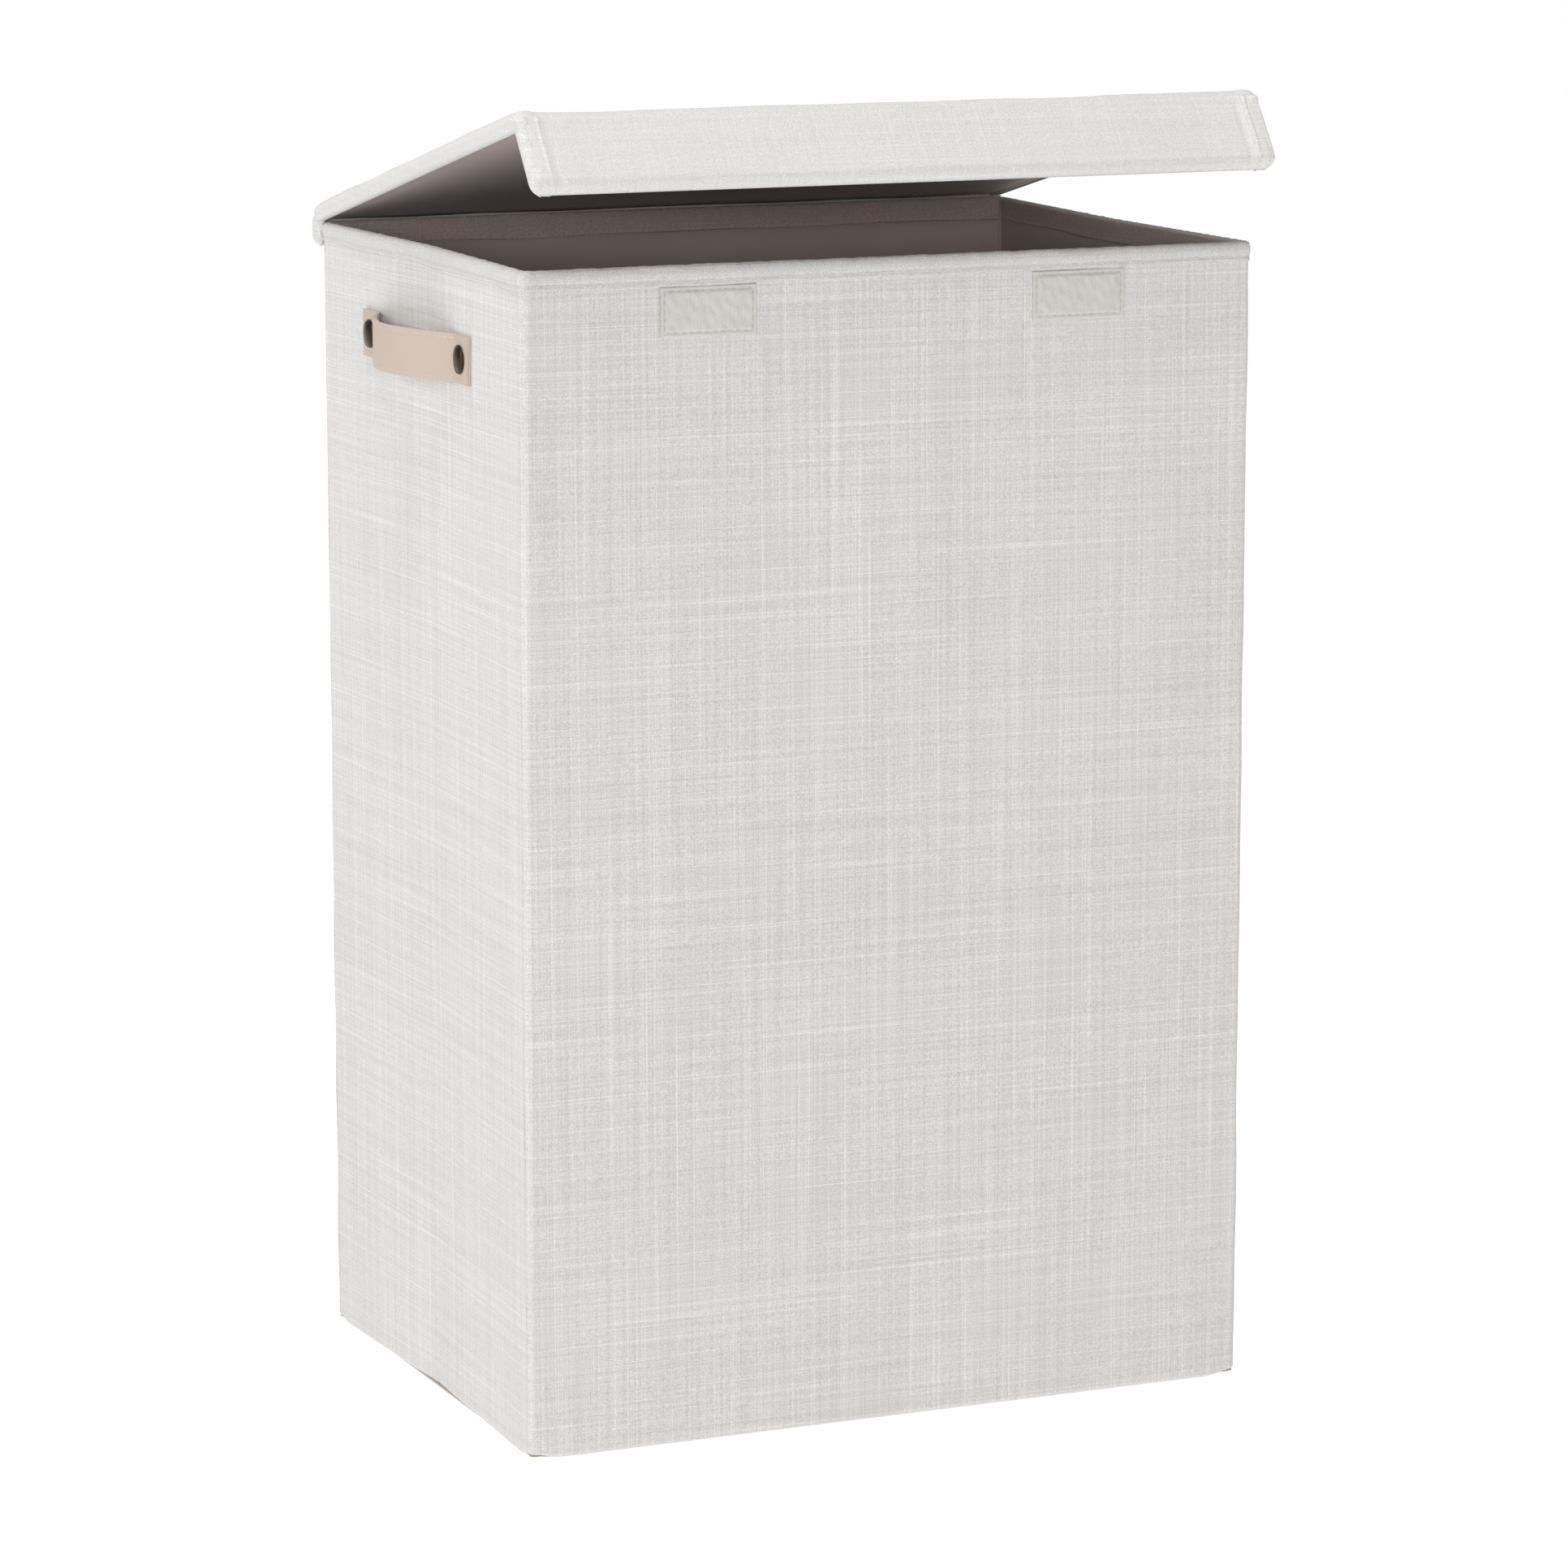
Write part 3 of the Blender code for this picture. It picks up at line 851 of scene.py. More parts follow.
@dataclass(frozen=True)
class WallCloth:
    """The woven cover, the rim band, the facing and the lining of the walls."""

    sizes: BinSizes = SIZES
    outline: Outline = Outline()
    stitching: Stitching = Stitching()
    bottom_roll: float = 0.0026
    corner_lift: float = 0.0024
    corner_reach: float = 0.0065
    tuck: float = 0.004
    least_cut: float = 0.01
    crease_bend: float = 0.003
    puff: float = 0.0015
    band_wave: float = 0.0006
    seam_radius: float = 0.0008
    outer_columns: int = 11
    side_seed: int = 11
    front_seed: int = 31
    back_seed: int = 51
    corner_seed: int = 71

    # -- profiles

    def cover_heights(self) -> np.ndarray:
        """The heights of a cover's columns, from its rolled foot to under the rim band."""
        s = self.sizes
        foot = 0.0002 + self.bottom_roll * (1 - np.cos(np.linspace(0.35, pi / 2, 6)))
        top = s.band_foot + self.tuck
        body = np.linspace(foot[-1] + 0.004, s.band_foot - 0.012, 118)
        near = np.array([-0.008, -0.005, -0.003, -0.0015, -0.0005, 0.001]) + s.band_foot
        return np.concatenate([foot, body, near, [top]])

    def cover_surface(self, line: WallLine, seed: int, crease: float | None = None) -> np.ndarray:
        """The seen side of a cover.

        Args:
            line: The wall that it covers.
            seed: Which unevenness it has.
            crease: The distance along the line of its crease, if it has one.

        Returns:
            Places shaped (points, columns, 3).
        """
        s = self.sizes
        height = self.cover_heights()
        along = line.along
        curled = np.clip((height - 0.0002) / self.bottom_roll, 0, 1)
        roll = -self.bottom_roll * (1 - np.sqrt(1 - (1 - curled) ** 2))
        u, v = along[:, None], height[None]
        uneven = 0.00022 * (1 + drift(u, v, seed, 0.11)) + 0.00005 * drift(u, v, seed + 1, 0.012)
        slip = 3 * drift(u, v * 0, seed, 0.05)
        pucker = 0.00016 * np.sin(2 * pi * u / self.stitching.pitch / 2 + slip)
        pucker = pucker * np.exp((v - s.band_foot) / 0.007)
        offset = np.minimum(roll, 0.0)[None] + (uneven + pucker) * (curled[None] > 0.99)
        if crease is not None:
            beside = 0.00018 * bell(np.abs(u - crease) - 0.003, 0.0015)
            offset = offset - 0.0005 * bell(u - crease, 0.0011) + beside
        ends = np.minimum(u, u[-1] - u)
        arc = self.corner_reach if line.room[0] < s.wall else 0.0
        lift = self.corner_lift * bell(np.maximum(ends - arc, 0), self.corner_reach)
        lifted = height[None] + lift * np.clip(1 - height[None] / 0.014, 0, 1)
        return line.surface(offset, lifted)

    def band_profile(self) -> tuple[np.ndarray, np.ndarray]:
        """The rim band's section: offsets from the outer face, and heights above its lower edge."""
        puff = self.puff
        rise = self.sizes.height - self.sizes.band_foot
        offset, height = zip(
            (0.0006, 0.0),
            (0.0010, 0.0007),
            (0.0010, 0.0016),
            (0.0006, 0.0026),
            (0.0009, 0.0034),
            (puff * 0.92, 0.0046),
            (puff, 0.0060),
            (puff * 0.9, 0.0075),
            (puff * 0.55, 0.0090),
            (0.0, rise - 0.0005),
            (-0.0010, rise - 0.0001),
            (-0.0020, rise),
            (-0.0030, rise - 0.0001),
            (-0.0039, rise - 0.0008),
            (-0.0043, rise - 0.0020),
        )
        return np.array(offset), np.array(height)

    def band_surface(self, line: WallLine, seed: int, columns: int | None = None) -> np.ndarray:
        """The rim band's seen side, with a slightly wavy lower edge.

        Args:
            line: The wall that it edges.
            seed: Which unevenness it has.
            columns: How much of its section to use, or all of it.

        Returns:
            Places shaped (points, columns, 3).
        """
        offset, rise = (part[:columns] for part in self.band_profile())
        u = line.along[:, None]
        soft = 1 + 0.16 * drift(u, u * 0, seed, 0.045) + 0.08 * drift(u, rise[None], seed + 4, 0.009)
        swell = np.where(offset > 0, offset * soft, offset)
        swell = np.maximum(swell, np.where(offset > 0, 0.0004, -1.0))
        low = np.clip(1 - rise / 0.006, 0, 1)[None]
        wave = self.band_wave * drift(u, u * 0, seed + 2, 0.085) * low
        top = np.clip(rise / 0.0095, 0, 1)[None] ** 4
        wave = wave - 0.00016 * (1 + drift(u, u * 0, seed + 6, 0.007)) * top
        heights = self.sizes.band_foot + rise[None] + wave
        return line.surface(swell, heights)

    def facing_surface(self, line: WallLine, seed: int, over_top: bool = False) -> np.ndarray:
        """The facing's seen side, inside the rim.

        Args:
            line: The wall that it is in.
            seed: Which unevenness it has.
            over_top: True if it also covers the top of the wall.

        Returns:
            Places shaped (points, columns, 3).
        """
        s = self.sizes
        depth = [0.0, -0.0007, -0.0009, -0.0008, -0.0005, -0.0002, -0.0005, -0.0006, -0.0001]
        drop = [0.0, 0.0008, 0.0022, 0.0045, 0.0068, 0.0086, 0.0094, 0.0104, 0.0112]
        if over_top:
            depth = [0.0036, 0.0030, 0.0020, 0.0010, 0.0003] + depth
            drop = [-0.0004, -0.0015, -0.0016, -0.0015, -0.0009] + drop
        depth, drop = np.array(depth), np.array(drop)
        u = line.along[:, None]
        soft = 1 + 0.2 * drift(u, u * 0, seed, 0.05)
        wave = 0.0004 * drift(u, u * 0, seed + 2, 0.09) * np.clip(drop / 0.008, 0, 1)[None]
        ends = np.minimum(u, u[-1] - u)
        offset = -s.wall + depth[None] * soft * np.clip(ends / 0.003, 0.15, 1)
        return line.surface(offset, s.height - 0.0014 - drop[None] + wave)

    def lining_surface(self, line: WallLine, seed: int) -> np.ndarray:
        """The lining's seen side, from under the facing down to the floor."""
        s = self.sizes
        height = np.linspace(s.facing_foot + 0.001, s.foot + 0.0004, 96)
        u, v = line.along[:, None], height[None]
        soft = 0.00012 * (drift(u, v, seed, 0.13) - 1)
        offset = -s.wall + soft * np.ones_like(v)
        return line.surface(offset, np.broadcast_to(height, offset.shape))

    # -- pieces

    def stitch_line(self, surface: np.ndarray, column: int) -> tuple[np.ndarray, np.ndarray]:
        """A column of a surface as a line to sew along, with the surface's direction there."""
        line = surface[:, column]
        up = surface[:, column + 1] - surface[:, column - 1]
        return line, unit(np.cross(np.gradient(line, axis=0), up))

    def seam(self, name: str, surface: np.ndarray, column: int, thread: Finish) -> bpy.types.Object:
        """The stitches along a column of a surface."""
        sewn = Weft()
        self.stitching.sew(sewn, *self.stitch_line(surface, column))
        return sewn.piece(f"{name}_stitches", thread)

    def band(
        self, name: str, line: WallLine, seed: int, columns: int | None = None
    ) -> list[bpy.types.Object]:
        """A stretch of rim band and its stitches."""
        surface = self.band_surface(line.finer(2), seed, columns)
        strip = cloth(f"{name}_rim_band", surface, OFF_WHITE_BINDING, self.sizes.cover * 0.8)
        return [strip, self.seam(f"{name}_rim", surface, 3, PALE_THREAD)]

    def facing(
        self, name: str, line: WallLine, seed: int, over_top: bool = False
    ) -> list[bpy.types.Object]:
        """A stretch of facing and its stitches."""
        surface = self.facing_surface(line, seed, over_top)
        strip = cloth(f"{name}_rim_facing_cloth", surface, TAUPE_FACING, self.sizes.lining)
        return [strip, self.seam(f"{name}_facing", surface, -4, TAUPE_THREAD)]

    def dress_wall(
        self, name: str, cover_line: WallLine, inner: WallLine, seed: int, crease: float | None = None
    ) -> tuple[list[bpy.types.Object], list[bpy.types.Object]]:
        """Every cloth piece of one wall.

        Args:
            name: The wall's name.
            cover_line: What its cover and rim band follow.
            inner: What its lining and facing follow.
            seed: Which unevenness it has.
            crease: Where its crease is along the line, if it has one.

        Returns:
            The pieces on the outer face, and those on the inner one.
        """
        s = self.sizes
        halves = [name] if crease is None else [f"{name}_rear", f"{name}_front"]
        surface = self.cover_surface(cover_line, seed, crease)
        cover = cloth(f"{name}_outer_cover", surface, OFF_WHITE, s.cover)
        lining = cloth(f"{name}_inner_lining", self.lining_surface(inner, seed), TAUPE, s.lining)
        over_top = name == "back"
        band = self.band(name, cover_line, seed, self.outer_columns if over_top else None)
        facing = self.facing(name, inner, seed, over_top)
        layers = {"cover": cover, "lining": lining, "rim_binding": band[0], "rim_facing": facing[0]}
        for layer, piece in layers.items():
            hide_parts(*(f"{half}_{layer}" for half in halves))
        return [cover, *band], [lining, *facing]

    def build_sides(self) -> None:
        """Both side walls, whose cloth has a crease down the middle."""
        left = self.outline.left_side()
        middle = float(left.along[-1]) / 2
        for hand in Hand:
            line = left if hand is Hand.LEFT else left.mirrored()
            seed = self.side_seed + hand.sign
            outer, inner = self.dress_wall(hand.value, line, line, seed, middle)
            for piece in outer + inner:
                bend_at_crease(piece)

    def build_front(self) -> None:
        """The front wall with both of its corners."""
        corner = self.outline.front_corner()
        flat = self.outline.front()
        line = corner.then(flat).then(corner.mirrored())
        outer, inner = self.dress_wall("front", line, flat, self.front_seed)
        for piece in outer:
            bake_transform(piece)
        for piece in inner:
            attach(piece, "front")
        for hand in Hand:
            self.corner_seam(hand, "front")
        self.corner_gusset()

    def build_back(self) -> None:
        """The back wall, and its two rear corners."""
        flat = self.outline.back()
        outer, inner = self.dress_wall("back", flat, flat, self.back_seed)
        for piece in outer + inner:
            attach(piece, "back")
        for hand in Hand:
            self.corner_seam(hand, "back")
            line = self.outline.rear_corner()
            line = line if hand is Hand.LEFT else line.mirrored()
            self.rear_corner(hand, line)

    def rear_corner(self, hand: Hand, line: WallLine) -> None:
        """One rear corner's cover and rim band."""
        name = f"{hand.value}_rear_corner"
        cover = cloth(name, self.cover_surface(line, self.corner_seed), OFF_WHITE, self.sizes.cover)
        band, thread = self.band(name, line, self.corner_seed)
        for piece in (cover, band, thread):
            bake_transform(piece)

    def corner_seam(self, hand: Hand, wall: str) -> None:
        """The rolled seam where two linings meet in a corner."""
        s = self.sizes
        rows = 60
        heights = np.linspace(s.foot, s.height - 0.0018, rows)
        x = hand.sign * (-s.side_axis.x - 0.0003) + 0.00012 * np.sin(heights * 190)
        y = (1 if wall == "back" else -1) * (s.side_axis.y - 0.0002)
        line = np.stack([x, np.full(rows, y), heights], axis=1)
        made = Weft()
        sideways = np.tile([1.0, 0, 0], (rows, 1))
        made.tube(line, sideways, np.full(rows, self.seam_radius), sides=8)
        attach(made.piece(f"{hand.value}_{wall}_lining_seam", TAUPE), wall)

    def corner_gusset(self) -> None:
        """The cloth inside the open corner, which shows only as the walls fold."""
        s = self.sizes
        axis = Vector((-s.side_axis.x, -s.side_axis.y, 0))
        turn = np.linspace(-pi / 2, radians(78), 16)
        out = np.stack([np.cos(turn), np.sin(turn)], axis=1)
        radius = s.wall - s.cover - 0.0003
        line = WallLine(np.array(axis[:2]) + out * radius, out, np.full(len(turn), radius))
        heights = np.linspace(s.foot, s.height - 0.004, 40)
        places = line.surface(np.zeros(len(heights)), heights)
        gusset = cloth("right_front_gusset", places, OFF_WHITE, s.lining)
        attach(gusset, "front")


@dataclass(frozen=True)
class EndBoards:
    """The boards of the front and back walls, rounded where the cover goes round the corners."""

    sizes: BinSizes = SIZES
    radius: float = 0.0034
    steps: int = 6

    def board(self, wall: str, facing: int) -> None:
        """Makes one board.

        Args:
            wall: Its wall, which is also its body.
            facing: 1 if the wall's outer face looks along +Y, or -1.
        """
        low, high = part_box(f"{wall}_board")
        axis = self.sizes.side_axis
        depths = sorted(abs(abs(y) - axis.y) for y in (low.y, high.y))
        turn = np.linspace(*(asin(min(1.0, depth / self.radius)) for depth in depths), self.steps)
        x = -axis.x + self.radius * np.cos(turn)
        y = facing * (axis.y + self.radius * np.sin(turn))
        ring = np.column_stack([np.concatenate([x, -x[::-1]]), np.concatenate([y, y[::-1]])])
        rows = [np.column_stack([ring, np.full(len(ring), z)]) for z in (low.z, high.z)]
        made = Weft()
        made.grid(np.array(rows)[:, :: -facing], wrap=True, caps=True)
        board = made.piece(f"{wall}_pressed_board", BOARD, sharp=40)
        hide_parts(f"{wall}_board")
        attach(board, wall)

    def build(self) -> None:
        """Makes both boards."""
        self.board("front", -1)
        self.board("back", 1)


# ---- floor


@dataclass(frozen=True)
class FloorCloth:
    """The floor's cover and lining, and the lining over the two base leaves."""

    sizes: BinSizes = SIZES
    corner: float = 0.006
    gathered: float = 0.29
    ridge_bend: float = 0.003

    def rounded_sheet(self, low_z: float, inset: float, seed: int) -> np.ndarray:
        """A sheet over the footprint with rounded corners, seen from above."""
        s = self.sizes
        half_x, half_y = s.half_width - inset, s.half_depth - inset
        y = np.linspace(half_y, -half_y, 64)
        reach = half_x - self.corner * (1 - quarter_round(half_y - np.abs(y), self.corner))
        across = np.linspace(-1, 1, 72)
        x = reach[:, None] * across[None]
        z = low_z + 0.00006 * drift(x, y[:, None], seed, 0.05)
        return np.dstack([x, np.broadcast_to(y[:, None], x.shape), z])

    def build(self) -> None:
        """Makes the floor sheets, which ride with the back, and the leaves' lining."""
        s = self.sizes
        stock = (
            ("floor_outer_cover", "floor_cover", OFF_WHITE, s.cover, 0.0045),
            ("floor_inner_lining", "floor_lining", TAUPE, s.lining, 0.0045),
        )
        for name, node, finish, thickness, inset in stock:
            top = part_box(node)[1].z - 0.0001
            sheet = cloth(name, self.rounded_sheet(top, inset, 91), finish, thickness * 0.8)
            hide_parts(node)
            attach(sheet, "back")
            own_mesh(sheet)
        self.leaf_lining()

    def leaf_lining(self) -> None:
        """One lining over both base leaves, narrowest at their ridge."""
        low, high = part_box("base_front_lining"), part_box("base_rear_lining")
        leaf = np.array([v.co for v in frame["nodes"]["base_rear_lining"].data.vertices])
        wide = float(np.abs(leaf[:, 0]).max())
        narrow = float(np.abs(leaf[leaf[:, 1] < high[0].y + 0.001][:, 0]).max())
        ridge = joint_place("base_ridge_fold")
        y = np.linspace(high[1].y, low[0].y, 81)
        away = np.abs(y - ridge.y) / (high[1].y - ridge.y)
        reach = narrow + (wide - narrow) * np.clip(away, 0, 1)
        across, hem = np.linspace(-1, 1, 49), 0.03
        x = reach[:, None] * across[None]
        rim = np.minimum(1 - np.abs(across), hem)[None] / hem
        z = high[1].z + 0.0003 * rim + 0.0001 * drift(x, y[:, None], 95, 0.06)
        places = np.dstack([x, np.broadcast_to(y[:, None], x.shape), z])
        sheet = cloth("base_leaf_lining", places, TAUPE, 0.0005)
        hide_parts("base_rear_lining", "base_front_lining")
        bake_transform(sheet)


# ---- lid


@dataclass(frozen=True)
class LidCloth:
    """The lid and its flap: one padded cover over both, linings, end bands and hook tape."""

    sizes: BinSizes = SIZES
    stitching: Stitching = Stitching()
    thickness: float = 0.0076
    edge: float = 0.0036
    margin: float = 0.0042
    band_width: float = 0.0105
    band_raise: float = 0.0012
    hem_at: float = 0.0062
    turn_under: float = 0.010
    band_flat: float = 0.0285
    hook_gap: float = 0.0019
    wall_puff: float = 0.0014
    corner: float = 0.005
    hinge: Vector = field(default_factory=lambda: joint_place("lid_hinge"))
    bend: Vector = field(default_factory=lambda: joint_place("flap_hinge"))
    half_width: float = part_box("lid_cover")[1].x
    tilt: float = radians(-joint_low("lid_hinge"))
    fold: float = radians(-joint_low("flap_hinge"))

    def at(self, turned: float, along: np.ndarray, level: np.ndarray) -> np.ndarray:
        """Points ahead of the bend and out of the lid or the flap, with x left at the middle."""
        flat = np.array(self.bend) + self.ahead(turned) * np.asarray(along)[..., None]
        return flat + self.outward(turned) * np.asarray(level)[..., None]

    def reach_of(self, node: str, start: Vector, turned: float = 0.0) -> np.ndarray:
        """How far a node's corners are ahead of a point."""
        corners = np.array([v.co for v in frame["nodes"][node].data.vertices])
        return (corners - np.array(start)) @ self.ahead(turned)

    def ahead(self, turned: float = 0.0) -> np.ndarray:
        """The way forward along the lid, or along the flap when turned down by its fold."""
        angle = self.tilt - turned
        return np.array([0.0, -cos(angle), sin(angle)])

    def outward(self, turned: float = 0.0) -> np.ndarray:
        """The way out of the lid's top, or out of the flap's face."""
        angle = self.tilt - turned
        return np.array([0.0, sin(angle), cos(angle)])

    @property
    def lid_length(self) -> float:
        """From the hinge's axis to the bend, along the lid's underside."""
        return float((np.array(self.bend) - np.array(self.hinge)) @ self.ahead())

    @property
    def rear(self) -> float:
        """How far the lid reaches behind its hinge's axis."""
        return float(-self.reach_of("lid_cover", self.hinge).min())

    @property
    def flap_length(self) -> float:
        """From the bend to the flap's lower edge."""
        return float(self.reach_of("flap_cover", self.bend, self.fold).max())

    def path(self) -> tuple[np.ndarray, np.ndarray, np.ndarray, np.ndarray]:
        """The line under the cover, from the lid's rear over the bend to the flap's lower edge.

        Returns:
            Its points, the directions out of the cover there, the cloth's height as a share of its
            full one, and the distance along it.
        """
        bend = np.array(self.bend)
        total = self.rear + self.lid_length
        near = self.edge * (1 - np.cos(np.linspace(0, pi / 2, 7)))
        lid = np.concatenate([near, np.linspace(0.008, total - 0.004, 68), [total - 0.0015]])
        flap = np.concatenate([[0.0015], np.linspace(0.004, self.flap_length - 0.0105, 9)])
        hem = self.flap_length - self.hem_at + np.linspace(-0.002, 0.002, 9)
        flap = np.concatenate([flap, hem, self.flap_length - near[::-1]])
        points = [bend + self.ahead() * (at - total) for at in lid]
        outs = [self.outward() for _ in lid]
        for turned in np.linspace(0, self.fold, 9):
            points.append(bend)
            outs.append(self.outward(turned))
        points += [bend + self.ahead(self.fold) * at for at in flap]
        outs += [self.outward(self.fold) for _ in flap]
        along = np.concatenate([lid, np.full(9, total), total + flap])
        end = np.minimum(along, along[-1] - along)
        return np.array(points), np.array(outs), quarter_round(end, self.edge), along

    def section(self, half_width: float, inner: float, columns: int) -> tuple[np.ndarray, np.ndarray]:
        """The cover's section across the lid.

        Args:
            half_width: From the middle to the rolled edge.
            inner: How far the cover is turned under at each edge.
            columns: How many points its top has.

        Returns:
            Distances from the middle, and heights as shares of the full one.
        """
        turn = np.linspace(-pi / 2, pi / 2, 9)
        edge_x = self.edge * (1 - np.cos(turn)) - half_width
        edge_h = (1 + np.sin(turn)) / 2
        seam = np.array([0.0058, 0.0080, 0.0100, 0.0112, 0.0122, 0.0132, 0.0142, 0.0155])
        top = np.linspace(-half_width + 0.0175, half_width - 0.0175, columns)
        top = between(seam, top, -half_width, half_width)
        x = np.concatenate([[-half_width + inner], edge_x, top, -edge_x[::-1], [half_width - inner]])
        share = np.concatenate([[0.0], edge_h, np.ones(len(top)), edge_h[::-1], [0.0]])
        return x[::-1], share[::-1]

    def rounding(self, to_end: np.ndarray) -> np.ndarray:
        """How far the outline draws in beside a rounded corner, at distances from the piece's end."""
        return self.corner * (1 - quarter_round(to_end, self.corner))

    # -- pieces

    def cover(self) -> None:
        """The padded cover over lid and flap."""
        points, outs, share, along = self.path()
        x, rise = self.section(self.half_width + 0.0008, self.margin, 84)
        u, v = x[None], along[:, None]
        lid_end = self.rear + self.lid_length
        inset = self.half_width - np.abs(x)
        plump = 0.0007 * bell(inset - 0.005, 0.004) - 0.0006 * np.clip(inset / 0.05, 0, 1)
        soft = 0.0003 * drift(u, v, 61, 0.09) + 0.00006 * drift(u, v, 62, 0.012)
        arch = 0.0007 * np.sin(pi * np.clip(v / lid_end, 0, 1))
        to_hem = along[-1] - v
        hem = 0.0005 * bell(to_hem - 0.0035, 0.0022)
        bend_seam = -0.0003 * bell(v - lid_end - 0.0015, 0.001)
        beside = np.clip((v - lid_end) / 0.004, 0, 1) * bell(inset - 0.0132, 0.0016)
        folds = plump + soft + hem + bend_seam - 0.0008 * beside
        level = rise * self.thickness + (rise > 0.99) * folds + arch * rise
        places = points[:, None] + outs[:, None] * (share[:, None] * level)[..., None]
        drawn_in = self.rounding(np.minimum(v, to_hem)) * np.clip(1 - inset / 0.02, 0, 1)[None]
        places[..., 0] = x[None] - np.sign(x)[None] * drawn_in
        sheet = cloth("lid_and_flap_cover", places, OFF_WHITE_LID, self.sizes.cover)
        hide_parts("lid_cover", "flap_cover")
        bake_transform(sheet)

    def plain_lining(self, part: str, turned: float, start: float, end: float) -> None:
        """A lining under the lid or behind the flap, with a rolled seam along its edges.

        Args:
            part: "lid" or "flap".
            turned: 0 for the lid, or the flap's fold.
            start, end: Where it starts and ends, ahead of the bend.
        """
        half = self.half_width - self.margin + 0.0006
        along = np.linspace(start, end, max(14, round((end - start) / 0.006)))
        welt = np.array([0.0, 0.0008, 0.0016, 0.0024, 0.0031, 0.0036])
        x = between(welt, np.linspace(-half + 0.008, half - 0.008, 66), -half, half)
        from_edge = half - np.abs(x)
        roll = 0.0004 * bell(from_edge - 0.0034, 0.0006) - 0.00035 * bell(from_edge - 0.0013, 0.0009)
        sag = 0.00025 + 0.00015 * drift(x[None], along[:, None], 63, 0.08)
        places = self.at(turned, along[:, None], roll[None] + sag * np.clip(from_edge / 0.01, 0, 1))
        places[..., 0] = x[None]
        sheet = cloth(f"{part}_inner_lining", places[:, ::-1], TAUPE, self.sizes.lining)
        flip_down(sheet)
        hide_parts(f"{part}_lining")
        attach(sheet, part)

    def end_band(self, hand: Hand) -> None:
        """The folded and stitched band round one end of the flap."""
        turn = np.linspace(-pi / 2, pi / 2, 9)
        full, wide, edge = self.thickness + self.band_raise, self.half_width + 0.0016, self.edge
        low = -self.band_raise * 0.5
        under = np.array([[self.band_width, 0.0002], [self.band_width - 0.0001, low], [0.0060, low]])
        end_height = low + (full - low) * (1 + np.sin(turn)) / 2
        round_end = np.column_stack([edge * (1 - np.cos(turn)), end_height])
        ridge = np.array([0.0052, 0.0066, 0.0078, 0.0086, 0.0094, 0.0102, 0.0109, 0.0114, 0.0115])
        raised = np.array([-2, -9, -10, -1, 8, 11, 8, -2, -22]) * 0.0001
        reach, height = np.concatenate([under, round_end, np.column_stack([ridge, full + raised])]).T
        near = edge * (1 - np.cos(np.linspace(0, pi / 2, 7)))
        length = self.flap_length + 0.0007
        along = np.linspace(0.004, length - 0.006, 14)
        along = np.concatenate([[-0.0012, 0.0, 0.0015], along, length - near[::-1]])
        to_end = length - along[:, None]
        crumple = 0.0002 * drift(along[:, None], reach[None], 65, 0.014) * (height[None] > 0.001)
        bunched = 0.0007 * bell(along[:, None] - 0.0005, 0.0016) * (height[None] > full * 0.6)
        level = low + (height[None] - low + crumple + bunched) * quarter_round(to_end, edge)
        places = self.at(self.fold, along[:, None], level)
        drawn_in = self.rounding(to_end) * np.clip(1.3 - reach / 0.009, 0, 1)[None]
        places[..., 0] = hand.sign * (wide - reach[None] - drawn_in)
        if hand is Hand.LEFT:
            places = places[:, ::-1]
        band = cloth(f"{hand.value}_flap_end_band", places[:, ::-1], OFF_WHITE, 0.0007)
        sewn = Weft()
        row = np.arange(0.003, length - 0.004, 0.001)
        line = self.at(self.fold, row, np.full(len(row), full - 0.0009))
        line[:, 0] = hand.sign * (wide - 0.0071)
        self.stitching.sew(sewn, line, np.tile(self.outward(self.fold), (len(row), 1)))
        thread = sewn.piece(f"{hand.value}_flap_band_stitches", PALE_THREAD)
        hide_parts(f"flap_{hand.value}_end_band")
        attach(band, "flap")
        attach(thread, "flap")

    def hook_tape(self, hand: Hand) -> None:
        """A patch of hook tape behind the flap, with its rows of hooks."""
        node = f"{hand.value}_hook_patch"
        reach = self.reach_of(node, self.bend, self.fold)
        low, high = (corner.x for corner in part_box(node))
        first, last = reach.min(), reach.max()
        across, along = np.meshgrid(np.linspace(low, high, 36), np.linspace(first, last, 20))
        rim = np.minimum.reduce([across - low, high - across, along - first, last - along])
        level = -0.00035 - 0.0003 * np.clip(rim / 0.0008, 0, 1)
        places = self.at(self.fold, along, level)
        places[..., 0] = across
        made = Weft()
        made.grid(places[:, ::-1])
        stem, lean = np.array([-6, -9, -10.5, -12]) * 0.0001, np.array([0, 0, 1, 3]) * 0.0001
        thick, sideways = np.array([3, 2.2, 3, 2]) * 0.0001, np.tile([1.0, 0, 0], (4, 1))
        for x in np.arange(low + 0.003, high - 0.0025, self.hook_gap):
            for y in np.arange(first + 0.003, last - 0.0025, self.hook_gap):
                post = self.at(self.fold, y + lean, stem)
                post[:, 0] = x
                made.tube(post, sideways, thick, 4)
        tape = made.piece(f"{hand.value}_hook_tape", HOOK_TAPE)
        flip_down(tape, only_grid=across.size)
        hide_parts(node)
        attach(tape, "flap")

